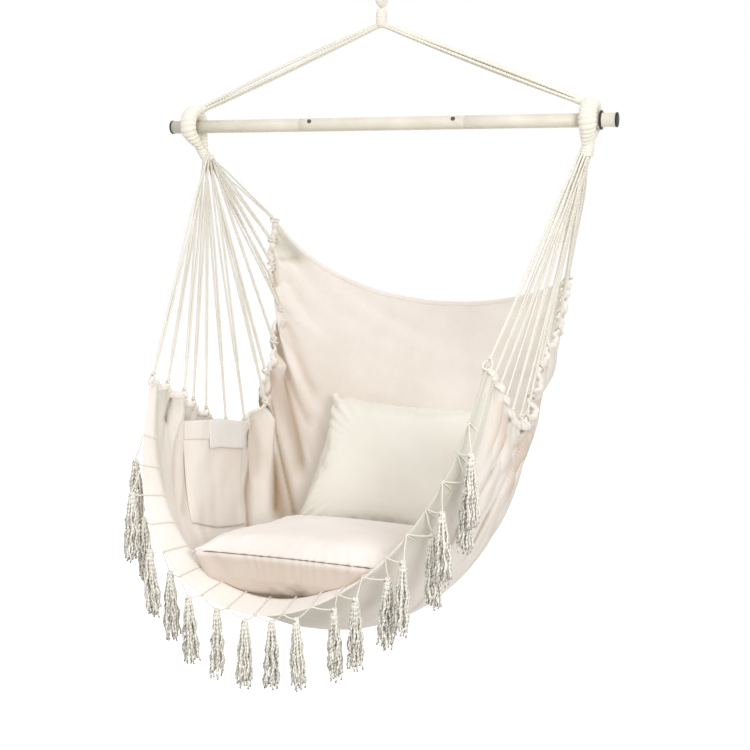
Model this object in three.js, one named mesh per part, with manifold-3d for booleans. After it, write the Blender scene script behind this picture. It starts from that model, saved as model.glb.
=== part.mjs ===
// A hanging hammock chair: a canvas sling with a fringed front hem hangs by fans of cord from two rope
// eyes on a spreader bar, and two rope bundles carry the bar from one steel ring.
// Millimetres, +Z up, the sitter faces -Y. The origin is the top inside of the ring, where a hook bears.
import * as THREE from "three";
import { mergeVertices } from "three/addons/utils/BufferGeometryUtils.js";
import Module from "manifold-3d";

const wasm = await Module();
wasm.setup();

// Fits
const seatGap = 0.35; // between pieces that rest on each other
const clothGap = 0.5; // between the cloth and what is cut to meet it
const mergeDistance = 1e-4;

// Facets round the round pieces
const tubeFacets = 20;
const ringFacets = 20;
const wireFacets = 8;
const eyeFacets = 16;
const eyeSectionFacets = 8;
const headFacets = 12;
const headCapRings = 3;
const stubFacets = 10;
const cordFacets = 5;
const neckFacets = 14;
const knotRings = 8;
const buttonFacets = 12;
const cutterFacets = 32; // of a space that is cut out of a neighbour
const cutterCapRings = 12;

// Wraps of thin rope
const wrapGap = 0.5; // between one turn and the next
const wrapSteps = 8; // round one turn
const wrapSides = 5;

// Steel hanging ring, plane in XZ
const ringWireRadius = 4;
const ringInnerRadius = 25;

// Top rope eye, plane in YZ, hooked round the bottom of the ring
const topEyeRopeRadius = 8;
const topEyeHoleRadius = 12;

// Whipped head where both rope bundles meet
const headCoreRadius = 8;
const headLength = 40;
const headWrapRadius = 2;
const headWrapLoops = 5;

// Rope bundles from the head down to the bar
const hangDrop = 205; // from where the bundles meet to the bar's centre line
const hangRopes = 5;
const hangRopeRadius = 2.6;
const hangSpread = 9; // how far the ropes of a bundle stand apart half way
const hangRopeSteps = 4;
const hangTurnShare = 0.25; // of the angle between two ropes, by which a bundle is turned
const hangGather = 2.6; // from a bundle's middle to its ropes, where they run as one
const hangStubRadius = 6.5;
const hangStubLength = 40; // where the ropes of a bundle run as one

// Spreader bar, three steel tubes
const barLength = 1000;
const barRadius = 14;
const barWall = 1.2;
const centreTubeLength = 370;
const spigotLength = 70;
const spigotGap = 0.3;
const swageLength = 6; // over which an outer tube narrows to its spigot
const capReach = 14; // how far a cap plugs into its tube
const capRim = 4;
const capRimOver = 0.8;
const stopWidth = 3.5;
const stopHeight = 5;
const stopRunGap = 1.5; // to the rope eye beside it

// Snap buttons that lock the tubes together
const buttonRadius = 4;
const buttonHoleGap = 0.35;
const buttonInset = 24; // from the seam, in the centre tube
const buttonProud = 2.5;
const buttonEdge = 1; // chamfer round its face
const buttonTurnDegrees = 32; // upwards from straight ahead
const springWidth = 7;
const springThickness = 0.8;
const springLegLength = 34;
const springPastButton = 6;
const springLift = 7; // of the leg that carries the button, above the tube's centre line

// Rope eyes round the bar
const eyeInset = 53; // from the bar's end to the middle of its rope eye
const eyeSpacing = barLength - 2 * eyeInset;
const eyeRunGap = 0.4;
const eyeCoreRadius = 5; // across the rope, measured from the bar outwards
const eyeCoreHalfWidth = 10.5; // along the bar
const eyeWrapRadius = 2.2;
const eyeWrapLoops = 12;
const eyeWrapSteps = 8;
const eyeWrapShare = 0.95; // of the way round the eye

// Whipped necks below the eyes
const neckCoreRadius = 9;
const neckDrop = 68; // below the bar's centre line
const neckLeanLeft = 35;
const neckLeanRight = 11;
const neckWrapRadius = 2.2;
const neckWrapLoops = 5;

// Cords from each neck to the sling's side edge
const cordsPerSide = 15;
const cordRadius = 2.2;
const cordFanRadius = 6;

// Canvas sling. Each row runs from the left edge to the right edge as a cubic curve with four control
// points; the rows follow each other from the front hem, under the seat and up the back.
const slingHalfWidth = 350;
const slingDepth = 350;
const slingDrop = 1000;
const slingRowShares = [
  [[-1.057, -0.986, 0.518], [-1.27, -1.257, 1.14], [0.75, -1.257, 1.04], [0.963, -0.986, 0.454]],
  [[-1.054, -0.643, 0.566], [-1.257, -0.671, 1.215], [0.9, -0.671, 1.18], [0.977, -0.829, 0.512]],
  [[-1.091, -0.257, 0.629], [-1.2, -0.2, 1.23], [0.957, -0.171, 1.215], [0.957, -0.486, 0.581]],
  [[-1.074, 0.271, 0.684], [-1.143, 0.357, 1.175], [0.986, 0.4, 1.16], [0.96, -0.129, 0.605]],
  [[-1.066, 0.586, 0.573], [-1.143, 0.7, 1.02], [1.229, 0.686, 1.015], [0.98, 0.086, 0.507]],
  [[-1.054, 0.737, 0.428], [-1.214, 0.843, 0.775], [1.343, 0.814, 0.78], [0.994, 0.429, 0.439]],
  [[-1.083, 0.714, 0.31], [-1.029, 0.891, 0.61], [1.143, 0.871, 0.61], [0.989, 0.629, 0.373]],
  [[-1.054, 0.737, 0.206], [-0.571, 0.914, 0.455], [0.614, 0.914, 0.415], [0.994, 0.737, 0.333]],
];
const clothThickness = 3;
const clothCellsAcross = 10;
const hemThickness = 6;
const hemCells = 2; // across a hem's width
const casingThickness = 11;
const casingWidth = 17;
const edgeGap = 0.6; // round a casing, where the cloth and the cords meet it
const beadEdgeShare = 0.4; // thickness of a casing at its two edges
const frontHemShare = 0.018;
const backHemShare = 0.012;
const seamShare = 0.0008;
const foldDepth = 13;
const foldWidthShare = 0.034;
const foldFadeShare = 0.26;
// Where the main folds run down from the side edges: place along the edge and strength
const leftFoldShares = [[0.07, 0.7], [0.14, -0.5], [0.46, -0.9], [0.53, 0.9], [0.6, -0.7]];
const rightFoldShares = [[0.09, 0.6], [0.18, -0.7], [0.28, 0.8], [0.38, -0.7], [0.49, 0.9], [0.6, -0.6]];

// Pocket sewn to the inside of the left wall
const pocketAcrossShares = [0.022, 0.168];
const pocketAlongShares = [0.168, 0.425];
const pocketDepth = 24;
const pocketThickness = 3;
const pocketCells = 8;
const pocketHemShare = 0.16;
const pocketHemExtra = 1;
const pocketSeamShare = 0.002;
const pocketRoundPower = 3;

// Loose cushions
const cushionWidth = 440;
const cushionDepth = 440;
const cushionCrown = 42;
const cushionBelly = 66;
const cushionCentreX = -34;
const cushionCentreY = -178;
const cushionCentreDrop = 866;
const cushionTiltDegrees = -4;
const pillowWidth = 440;
const pillowHeight = 360;
const pillowFront = 58;
const pillowBack = 52;
const pillowCentreX = 1;
const pillowCentreY = 172;
const pillowCentreDrop = 812;
const pillowLeanDegrees = 78; // of its height above the horizontal
const pillowRollDegrees = 8;
const cushionCells = 12;
const cushionSwellPower = 0.5;
const cushionFlatPower = 4; // the higher, the flatter a cushion's middle
const cutDepth = 140; // how deep a cushion could reach behind the cloth before it is cut
const cushionPinchShare = 0.07; // how far each side is drawn in between its corners
const cushionSeamThickness = 7;

// Fringe on the front hem: a cord that zigzags below the hem and carries a tassel at each low point
const fringeStitches = 19;
const fringeStartShare = 0.085; // of the hem's length, left free at each end
const fringeCordRadius = 1.5;
const fringeDrop = 28; // of a low point below the hem where the hem runs level
const fringeSag = 24; // of a low point where the hem is steep
const fringeForward = 4;
const fringeStitchShare = 1.6; // of the cord's radius, from the hem to the middle of a stitch
// Steep places take turns: how far each tassel stands outwards and forwards of the hem
const fringePlaces = [[26, -11], [18, 27]];
const tasselFacets = 6;
const tasselLength = 134;
const tasselSkirtRadius = 15.5;
// Outline of a tassel from the top down: share of its length and share of the skirt's radius
const tasselShares = [[0, 0.3], [0.07, 0.55], [0.14, 0.45], [0.8, 1], [1, 0.85]];

// Places that the rest follows
const ringRadius = ringInnerRadius + ringWireRadius;
const ringCentreZ = -ringInnerRadius;
const ringWireZ = ringCentreZ - ringRadius;
const topEyeRadius = topEyeHoleRadius + topEyeRopeRadius;
const topEyeZ = ringWireZ + ringWireRadius + seatGap - topEyeHoleRadius;
const topEyeBottomRopeZ = topEyeZ - topEyeRadius;
const headTopZ = topEyeBottomRopeZ - topEyeRopeRadius - seatGap;
const headFootZ = headTopZ - headLength;
const headBallZ = headFootZ + headCoreRadius;
const barZ = headBallZ - hangDrop;
const eyeWrapStretch = 1 / Math.cos(Math.PI / eyeWrapSteps); // keeps a faceted turn clear of its core
const eyeBand = (eyeCoreRadius + seatGap + eyeWrapRadius) * eyeWrapStretch + eyeWrapRadius;
const eyeHalfWidth = (eyeCoreHalfWidth + seatGap + eyeWrapRadius) * eyeWrapStretch + eyeWrapRadius;
const eyeRadius = barRadius + eyeRunGap + eyeBand; // to the middle of the rope
const boreRadius = barRadius - barWall;
const spigotRadius = boreRadius - spigotGap;
const spigotBoreRadius = spigotRadius - barWall;
const clothCellsAlong = 2 * cordsPerSide;

const materials = {
  steel: new THREE.MeshStandardMaterial({ color: 0xb8bbbd, roughness: 0.3, metalness: 1 }),
  springSteel: new THREE.MeshStandardMaterial({ color: 0x54565a, roughness: 0.4, metalness: 1 }),
  paintedTube: new THREE.MeshStandardMaterial({ color: 0xe6dfcf, roughness: 0.45, metalness: 0 }),
  blackPlastic: new THREE.MeshStandardMaterial({ color: 0x17171a, roughness: 0.6, metalness: 0 }),
  cottonRope: new THREE.MeshStandardMaterial({ color: 0xe9e4d6, roughness: 0.95, metalness: 0 }),
  canvas: new THREE.MeshStandardMaterial({ color: 0xf0e4d8, roughness: 0.9, metalness: 0 }),
  cushionCotton: new THREE.MeshStandardMaterial({ color: 0xf2e6de, roughness: 0.9, metalness: 0 }),
};

const model = new THREE.Group();

function addPiece(name, geometry, material) {
  const piece = new THREE.Mesh(geometry, material);
  piece.name = name;
  model.add(piece);
}

function solidOf(geometry) {
  const bare = geometry.index ? geometry.toNonIndexed() : geometry.clone();
  bare.deleteAttribute("normal");
  bare.deleteAttribute("uv");
  const merged = mergeVertices(bare, mergeDistance);
  return new wasm.Manifold(
    new wasm.Mesh({
      numProp: 3,
      vertProperties: merged.attributes.position.array,
      triVerts: new Uint32Array(merged.index.array),
    }),
  );
}

function geometryOf(solid) {
  const mesh = solid.getMesh();
  const geometry = new THREE.BufferGeometry();
  geometry.setAttribute("position", new THREE.BufferAttribute(mesh.vertProperties, mesh.numProp));
  geometry.setIndex(new THREE.BufferAttribute(mesh.triVerts, 1));
  geometry.computeVertexNormals();
  return geometry;
}

function fuse(geometries) {
  return geometries.map(solidOf).reduce((sum, solid) => sum.add(solid));
}

// The main body of a solid whose cut left crumbs.
function largest(solid) {
  return solid.decompose().reduce((best, body) => (body.volume() > best.volume() ? body : best));
}

function roundSection(radius, sides) {
  const corners = Array.from({ length: sides }, (_, i) => (2 * Math.PI * i) / sides);
  return new THREE.Shape(corners.map((a) => new THREE.Vector2(radius * Math.cos(a), radius * Math.sin(a))));
}

function ropeAlong(curve, radius, sides, steps) {
  const section = roundSection(radius, sides);
  return new THREE.ExtrudeGeometry(section, { steps, bevelEnabled: false, extrudePath: curve });
}

function straightRope(from, to, radius, sides) {
  return ropeAlong(new THREE.LineCurve3(from, to), radius, sides, 1);
}

// A rope wound round a core: place(turn share) gives the rope's centre, for turn shares from 0 to 1.
class Winding extends THREE.Curve {
  constructor(place) {
    super();
    this.place = place;
  }
  getPoint(share) {
    return this.place(share);
  }
  getUtoTmapping(share) {
    return share;
  }
}

function leastGap(curve, loops, stepsPerLoop, radius) {
  const points = curve.getPoints(loops * stepsPerLoop);
  const apart = Math.ceil(stepsPerLoop / 2);
  let least = Infinity;
  for (let i = 0; i < points.length; i++) {
    for (let j = i + apart; j < points.length; j++) {
      least = Math.min(least, points[i].distanceTo(points[j]) - 2 * radius);
    }
  }
  return least;
}

function wind(name, place, loops, stepsPerLoop, sides, radius) {
  const curve = new Winding(place);
  console.log(name, "least gap to itself", leastGap(curve, loops, stepsPerLoop, radius).toFixed(2), "mm");
  return ropeAlong(curve, radius, sides, loops * stepsPerLoop);
}

// Ring of round or oval section whose axis runs along X.
function ovalRing(radius, halfThickness, halfWidth, sectionSides, segments) {
  const profile = [];
  for (let i = 0; i <= sectionSides; i++) {
    const a = (2 * Math.PI * (i % sectionSides)) / sectionSides;
    profile.push(new THREE.Vector2(radius + halfThickness * Math.cos(a), halfWidth * Math.sin(a)));
  }
  return new THREE.LatheGeometry(profile, segments).rotateZ(-Math.PI / 2);
}

// Tube or stepped sleeve along X from a profile of [radius, x] corners.
function turned(corners, segments) {
  const profile = [...corners, corners[0]].map(([radius, x]) => new THREE.Vector2(radius, x));
  return new THREE.LatheGeometry(profile, segments).rotateZ(-Math.PI / 2);
}

// Ring, top eye and head

const ringGeometry = new THREE.TorusGeometry(ringRadius, ringWireRadius, wireFacets, ringFacets);
addPiece("hanging_ring", ringGeometry.rotateX(Math.PI / 2).translate(0, 0, ringCentreZ), materials.steel);

const topEye = ovalRing(topEyeRadius, topEyeRopeRadius, topEyeRopeRadius, eyeSectionFacets, eyeFacets);
addPiece("top_eye", topEye.translate(0, 0, topEyeZ), materials.cottonRope);

const headBarrel = headLength - 2 * headCoreRadius;
const headMiddleZ = headTopZ - headLength / 2;
function headShape(radius, capRings, facets) {
  const shape = new THREE.CapsuleGeometry(radius, headBarrel, capRings, facets);
  return shape.rotateX(Math.PI / 2).translate(0, 0, headMiddleZ);
}
addPiece("rope_head", headShape(headCoreRadius, headCapRings, headFacets), materials.cottonRope);

// The centre of each turn of a rope wound round a straight core.
function helixRound(from, to, coreRadius, wrapRadius, loops, stepsPerLoop) {
  const axis = to.clone().sub(from).normalize();
  const across = new THREE.Vector3(0, 1, 0).cross(axis).normalize();
  const forward = axis.clone().cross(across);
  const radius = (coreRadius + seatGap + wrapRadius) / Math.cos(Math.PI / stepsPerLoop);
  return (share) => {
    const angle = 2 * Math.PI * loops * share;
    const centre = from.clone().lerp(to, share).addScaledVector(across, radius * Math.cos(angle));
    return centre.addScaledVector(forward, radius * Math.sin(angle));
  };
}

function wrapStraight(name, from, towards, coreRadius, wrapRadius, loops) {
  const pitch = 2 * wrapRadius + wrapGap;
  const to = from.clone().addScaledVector(towards, loops * pitch);
  const place = helixRound(from, to, coreRadius, wrapRadius, loops, wrapSteps);
  addPiece(name, wind(name, place, loops, wrapSteps, wrapSides, wrapRadius), materials.cottonRope);
}

const down = new THREE.Vector3(0, 0, -1);
const headWrapLength = headWrapLoops * (2 * headWrapRadius + wrapGap);
const headWrapTop = new THREE.Vector3(0, 0, headBallZ + headCoreRadius + headWrapLength);
wrapStraight("head_whipping", headWrapTop, down, headCoreRadius, headWrapRadius, headWrapLoops);

// Rope eyes round the bar, with their wrap

function eyeRing(side) {
  const ring = ovalRing(eyeRadius, eyeCoreRadius, eyeCoreHalfWidth, eyeSectionFacets, eyeFacets);
  return ring.translate((side * eyeSpacing) / 2, 0, barZ);
}

// The eye with its wrap and a gap, for cutting what meets it.
function eyeSpace(side) {
  const outwards = 1 / Math.cos(Math.PI / cutterFacets) ** 2;
  const ring = ovalRing(
    eyeRadius * outwards,
    (eyeBand + seatGap) * outwards,
    (eyeHalfWidth + seatGap) * outwards,
    cutterFacets,
    cutterFacets,
  );
  return solidOf(ring.translate((side * eyeSpacing) / 2, 0, barZ));
}

function eyeWrapPlace(side) {
  const high = eyeBand - eyeWrapRadius;
  const wide = eyeHalfWidth - eyeWrapRadius;
  return (share) => {
    const round = 2 * Math.PI * eyeWrapShare * share;
    const turn = 2 * Math.PI * eyeWrapLoops * share;
    const reach = eyeRadius + high * Math.cos(turn);
    return new THREE.Vector3(
      (side * eyeSpacing) / 2 + wide * Math.sin(turn),
      reach * Math.sin(round),
      barZ + reach * Math.cos(round),
    );
  };
}

// Rope bundles from the head to the eyes

function bundleSolid(side) {
  const top = new THREE.Vector3(0, 0, headBallZ);
  const foot = new THREE.Vector3((side * eyeSpacing) / 2, 0, barZ + eyeRadius);
  const towards = foot.clone().sub(top).normalize();
  const upwards = new THREE.Vector3(-towards.z, 0, towards.x).multiplyScalar(side);
  const ropeAt = (share, angle, spread) =>
    top
      .clone()
      .lerp(foot, share)
      .addScaledVector(upwards, spread * Math.cos(angle))
      .add(new THREE.Vector3(0, spread * Math.sin(angle), 0));
  const stub = hangStubLength / top.distanceTo(foot);
  const pieces = [
    straightRope(top, ropeAt(stub / 2, 0, 0), hangStubRadius, stubFacets),
    straightRope(ropeAt(1 - stub, 0, 0), foot, hangStubRadius, stubFacets),
  ];
  for (let i = 0; i < hangRopes; i++) {
    const angle = (2 * Math.PI * (i + hangTurnShare)) / hangRopes;
    const points = [
      ropeAt(stub / 4, angle, hangGather),
      ropeAt(0.5, angle, hangSpread),
      ropeAt(1 - stub / 2, angle, hangGather),
    ];
    const route = new THREE.CatmullRomCurve3(points);
    pieces.push(ropeAlong(route, hangRopeRadius, cordFacets, hangRopeSteps));
  }
  const headSpace = solidOf(headShape(headCoreRadius + seatGap, cutterCapRings, cutterFacets));
  return fuse(pieces).subtract(headSpace).subtract(eyeSpace(side));
}

// Canvas sling

const slingStep = 0.004;
const slingRows = slingRowShares.map((row) =>
  row.map(
    ([x, y, z]) => new THREE.Vector3(x * slingHalfWidth, y * slingDepth, barZ - z * slingDrop),
  ),
);
const slingColumns = [0, 1, 2, 3].map((k) => new THREE.CatmullRomCurve3(slingRows.map((row) => row[k])));

// Point of the sling's middle layer, across from left 0 to right 1, along from the front 0 to the back 1.
function slingPoint(across, along) {
  const inside = THREE.MathUtils.clamp(along, 0, 1);
  const step = along < 0 ? slingStep : -slingStep;
  const past = (along - inside) / step;
  const controls = slingColumns.map((column) =>
    column.getPoint(inside).lerp(column.getPoint(Math.abs(inside + (past ? step : 0))), past),
  );
  const left = 1 - across;
  const weights = [left ** 3, 3 * left ** 2 * across, 3 * left * across ** 2, across ** 3];
  return controls.reduce((sum, point, k) => sum.addScaledVector(point, weights[k]), new THREE.Vector3());
}

// Unit direction from the cloth towards the sitter.
function slingInwards(across, along) {
  const low = THREE.MathUtils.clamp(along - slingStep, 0, 1 - 2 * slingStep);
  const acrossStep = slingPoint(across + slingStep, along).sub(slingPoint(across - slingStep, along));
  const alongStep = slingPoint(across, low + 2 * slingStep).sub(slingPoint(across, low));
  return acrossStep.cross(alongStep).normalize();
}

function foldHeight(across, along) {
  const side = across < 0.5 ? leftFoldShares : rightFoldShares;
  const fromEdge = Math.min(across, 1 - across) / foldFadeShare;
  const waves = side.map(([place, strength]) => {
    const off = (along - place) / foldWidthShare;
    return strength * Math.exp(-off * off);
  });
  return foldDepth * Math.exp(-fromEdge * fromEdge) * waves.reduce((sum, wave) => sum + wave, 0);
}

// Point of the folded cloth, some way in front of or behind its middle layer.
function onSling(across, along, proud) {
  const offset = foldHeight(across, along) + proud;
  return slingPoint(across, along).addScaledVector(slingInwards(across, along), offset);
}

// Even steps from the first share to the last.
function steps([first, last], cells) {
  return Array.from({ length: cells + 1 }, (_, i) => THREE.MathUtils.lerp(first, last, i / cells));
}

// Closed sheet of cells across and along it. place(i, j, face) gives the corners of its front face 0 and
// its back face 1.
function slab(cellsAcross, cellsAlong, place) {
  const positions = [];
  const faces = [];
  const rowLength = cellsAcross + 1;
  const layer = rowLength * (cellsAlong + 1);
  for (const face of [0, 1]) {
    for (let j = 0; j <= cellsAlong; j++) {
      for (let i = 0; i <= cellsAcross; i++) {
        positions.push(...place(i, j, face));
      }
    }
  }
  const quad = (a, b, c, d) => faces.push(a, b, c, a, c, d);
  for (let j = 0; j < cellsAlong; j++) {
    for (let i = 0; i < cellsAcross; i++) {
      const a = j * rowLength + i;
      quad(a, a + 1, a + rowLength + 1, a + rowLength);
      quad(layer + a, layer + a + rowLength, layer + a + rowLength + 1, layer + a + 1);
    }
  }
  const last = cellsAlong * rowLength;
  for (let i = 0; i < cellsAcross; i++) {
    quad(i + 1, i, layer + i, layer + i + 1);
    quad(last + i, last + i + 1, layer + last + i + 1, layer + last + i);
  }
  for (let j = 0; j < cellsAlong; j++) {
    const a = j * rowLength;
    const b = a + cellsAcross;
    quad(a, a + rowLength, layer + a + rowLength, layer + a);
    quad(b + rowLength, b, layer + b, layer + b + rowLength);
  }
  const geometry = new THREE.BufferGeometry();
  geometry.setAttribute("position", new THREE.Float32BufferAttribute(positions, 3));
  geometry.setIndex(faces);
  geometry.computeVertexNormals();
  return geometry;
}

// Piece of cloth between places across and along the sling. thick(across share, along share of the piece)
// gives how far its two faces stand in front of the sling's middle layer.
function slingPiece(acrossPlaces, alongPlaces, thick) {
  const cellsAcross = acrossPlaces.length - 1;
  const cellsAlong = alongPlaces.length - 1;
  return slab(cellsAcross, cellsAlong, (i, j, face) =>
    onSling(acrossPlaces[i], alongPlaces[j], thick(i / cellsAcross, j / cellsAlong)[face]),
  );
}

const even = (thickness) => () => [thickness / 2, -thickness / 2];
const clothAcross = steps([0, 1], clothCellsAcross);
const betweenHems = [frontHemShare + seamShare, 1 - backHemShare - seamShare];
const clothAlong = [0, ...steps(betweenHems, clothCellsAlong), 1];
const casingAlong = steps(betweenHems, clothCellsAlong);

function hemGeometry(alongShares, thickness) {
  return slingPiece(clothAcross, steps(alongShares, hemCells), even(thickness));
}

// Padded edge that follows the sling's side, thickest along its middle.
function casingGeometry(side, growth) {
  const across = side < 0 ? 0 : 1;
  const edge = casingAlong.map((along) => onSling(across, along, 0));
  return slab(2, clothCellsAlong, (i, j, face) => {
    const ahead = edge[Math.min(j + 1, clothCellsAlong)].clone().sub(edge[Math.max(j - 1, 0)]);
    const inwards = slingInwards(across, casingAlong[j]);
    const aside = ahead.cross(inwards).normalize();
    const thickness = casingThickness * (i === 1 ? 1 : beadEdgeShare);
    const proud = (thickness / 2 + growth) * (face === 0 ? 1 : -1);
    const wide = (i - 1) * (casingWidth / 2 + growth);
    return edge[j].clone().addScaledVector(aside, wide).addScaledVector(inwards, proud);
  });
}

addPiece("front_hem", hemGeometry([0, frontHemShare], hemThickness), materials.canvas);
addPiece("back_hem", hemGeometry([1 - backHemShare, 1], hemThickness), materials.canvas);
// The space of the hems, then of the casings too, with a gap round it
const hemSpaces = [
  hemGeometry([-seamShare, frontHemShare + seamShare], hemThickness + 2 * seatGap),
  hemGeometry([1 - backHemShare - seamShare, 1 + seamShare], hemThickness + 2 * seatGap),
].map(solidOf);
const edgeSpaces = [...hemSpaces, ...[-1, 1].map((side) => solidOf(casingGeometry(side, edgeGap)))];

function cutClearOf(solid, spaces) {
  return largest(spaces.reduce((left, space) => left.subtract(space), solid));
}

for (const [side, word] of [[-1, "left"], [1, "right"]]) {
  const casing = cutClearOf(solidOf(casingGeometry(side, 0)), hemSpaces);
  addPiece("side_casing_" + word, geometryOf(casing), materials.canvas);
}

const fullCloth = solidOf(slingPiece(clothAcross, clothAlong, even(clothThickness)));
addPiece("sling_cloth", geometryOf(cutClearOf(fullCloth, edgeSpaces)), materials.canvas);
const widened = [-seamShare, ...clothAcross.slice(1, -1), 1 + seamShare];
const clothSpace = solidOf(slingPiece(widened, clothAlong, even(clothThickness + 2 * clothGap)));

// Eyes, necks, bundles and cord fans, left and right

function neckLine(side) {
  const lean = side < 0 ? neckLeanLeft : neckLeanRight;
  const top = new THREE.Vector3((side * eyeSpacing) / 2, 0, barZ - eyeRadius);
  const foot = new THREE.Vector3(side * (eyeSpacing / 2 - lean), 0, barZ - neckDrop);
  return { top, foot, upwards: top.clone().sub(foot).normalize() };
}

function cordFan(side) {
  const { top, foot } = neckLine(side);
  const knot = new THREE.SphereGeometry(neckCoreRadius - cordRadius / 2, neckFacets, knotRings);
  knot.translate(foot.x, foot.y, foot.z);
  const pieces = [straightRope(top, foot, neckCoreRadius, neckFacets), knot];
  for (let i = 0; i < cordsPerSide; i++) {
    const share = (i + 0.5) / cordsPerSide;
    const along = THREE.MathUtils.lerp(...betweenHems, share);
    const end = onSling(side < 0 ? 0 : 1, along, 0);
    const spread = cordFanRadius * (2 * share - 1);
    const offset = new THREE.Vector3(((i % 2) - 0.5) * cordFanRadius, spread, -cordRadius);
    pieces.push(straightRope(foot.clone().add(offset), end, cordRadius, cordFacets));
  }
  return cutClearOf(fuse(pieces), [eyeSpace(side), clothSpace, ...edgeSpaces]);
}

for (const [side, word] of [[-1, "left"], [1, "right"]]) {
  addPiece("rope_eye_" + word, eyeRing(side), materials.cottonRope);
  const name = "eye_wrap_" + word;
  const wrap = wind(name, eyeWrapPlace(side), eyeWrapLoops, eyeWrapSteps, wrapSides, eyeWrapRadius);
  addPiece(name, wrap, materials.cottonRope);
  addPiece("rope_bundle_" + word, geometryOf(bundleSolid(side)), materials.cottonRope);
  addPiece("body_cords_" + word, geometryOf(cordFan(side)), materials.cottonRope);
  const { foot, upwards } = neckLine(side);
  const wrapFoot = foot.clone().addScaledVector(upwards, 2 * neckWrapRadius);
  wrapStraight("neck_whipping_" + word, wrapFoot, upwards, neckCoreRadius, neckWrapRadius, neckWrapLoops);
}

// Pocket: a panel sewn to the left wall at both sides and below, open at the top

function pocketPiece(fromTop, toTop, extra) {
  const across = [fromTop, toTop].map((share) => THREE.MathUtils.lerp(...pocketAcrossShares, share));
  const thick = (s, t) => {
    const below = THREE.MathUtils.lerp(fromTop, toTop, s);
    const round = (1 - below ** pocketRoundPower) * (1 - (2 * t - 1) ** (2 * pocketRoundPower));
    const lift = clothThickness / 2 + seatGap + pocketDepth * round;
    return [lift + pocketThickness + extra, lift];
  };
  const down = steps(across, Math.ceil(pocketCells * (toTop - fromTop)));
  return slingPiece(down, steps(pocketAlongShares, pocketCells), thick);
}

const pocketPanel = solidOf(pocketPiece(pocketHemShare + pocketSeamShare, 1, 0));
addPiece("pocket_panel", geometryOf(cutClearOf(pocketPanel, [clothSpace])), materials.canvas);
const pocketHem = solidOf(pocketPiece(0, pocketHemShare, pocketHemExtra));
addPiece("pocket_hem", geometryOf(cutClearOf(pocketHem, [clothSpace])), materials.canvas);

// Loose cushions, cut to lie on the cloth

function pad(width, depth, up, down, matrix) {
  return slab(cushionCells, cushionCells, (i, j, face) => {
    const s = (2 * i) / cushionCells - 1;
    const t = (2 * j) / cushionCells - 1;
    const x = (width / 2) * s * (1 - cushionPinchShare * (1 - t * t));
    const y = (depth / 2) * t * (1 - cushionPinchShare * (1 - s * s));
    const swell = ((1 - s ** cushionFlatPower) * (1 - t ** cushionFlatPower)) ** cushionSwellPower;
    const above = up * swell + cushionSeamThickness / 2;
    const below = -down * swell - cushionSeamThickness / 2;
    return new THREE.Vector3(x, y, face === 0 ? above : below).applyMatrix4(matrix);
  });
}

function placed(x, y, z, leanDegrees, rollDegrees) {
  const turn = new THREE.Matrix4().makeRotationX(THREE.MathUtils.degToRad(leanDegrees));
  const roll = new THREE.Matrix4().makeRotationY(THREE.MathUtils.degToRad(rollDegrees));
  return new THREE.Matrix4().makeTranslation(x, y, z).multiply(roll).multiply(turn);
}

// Everything outside the sling and its front hem, down to a depth that holds all of a cushion's reach.
const behind = (thickness) => () => [thickness / 2 + seatGap, -cutDepth];
const outsideSling = [
  slingPiece(clothAcross, clothAlong, behind(clothThickness)),
  slingPiece(clothAcross, steps([0, betweenHems[0]], hemCells), behind(hemThickness)),
].map(solidOf);

const seatCentreZ = barZ - cushionCentreDrop;
const seatPlace = placed(cushionCentreX, cushionCentreY, seatCentreZ, cushionTiltDegrees, 0);
const seatPad = solidOf(pad(cushionWidth, cushionDepth, cushionCrown, cushionBelly, seatPlace));
addPiece("seat_cushion", geometryOf(cutClearOf(seatPad, outsideSling)), materials.cushionCotton);

const pillowPlace = placed(
  pillowCentreX,
  pillowCentreY,
  barZ - pillowCentreDrop,
  pillowLeanDegrees,
  pillowRollDegrees,
);
const backPad = solidOf(pad(pillowWidth, pillowHeight, pillowFront, pillowBack, pillowPlace));
addPiece("back_pillow", geometryOf(cutClearOf(backPad, outsideSling)), materials.cushionCotton);

// Spreader bar

const buttonTurn = THREE.MathUtils.degToRad(buttonTurnDegrees);
const buttonX = centreTubeLength / 2 - buttonInset;
const seamX = (centreTubeLength + seatGap) / 2;

function mirrored(corners, side) {
  const placed = corners.map(([radius, x]) => [radius, side * x]);
  return side < 0 ? placed.reverse() : placed;
}

// Round piece along the button's line, from one height above the bar's centre line to another.
function buttonRod(side, radius, low, high, edge) {
  const profile = [
    [0, low],
    [radius, low],
    [radius, high - edge],
    [radius - edge, high],
    [0, high],
  ].map(([x, y]) => new THREE.Vector2(x, y));
  const rod = new THREE.LatheGeometry(profile, buttonFacets).rotateX(Math.PI - buttonTurn);
  return rod.translate(side * buttonX, 0, barZ);
}

function barTube(corners, sides) {
  const tube = solidOf(turned(corners, tubeFacets).translate(0, 0, barZ));
  return sides.reduce((solid, side) => {
    const hole = buttonRod(side, buttonRadius + buttonHoleGap, 0, 2 * barRadius, 0);
    return solid.subtract(solidOf(hole));
  }, tube);
}

const half = centreTubeLength / 2;
const centreTube = barTube(
  [[boreRadius, -half], [barRadius, -half], [barRadius, half], [boreRadius, half]],
  [-1, 1],
);
addPiece("bar_centre_tube", geometryOf(centreTube), materials.paintedTube);

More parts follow.
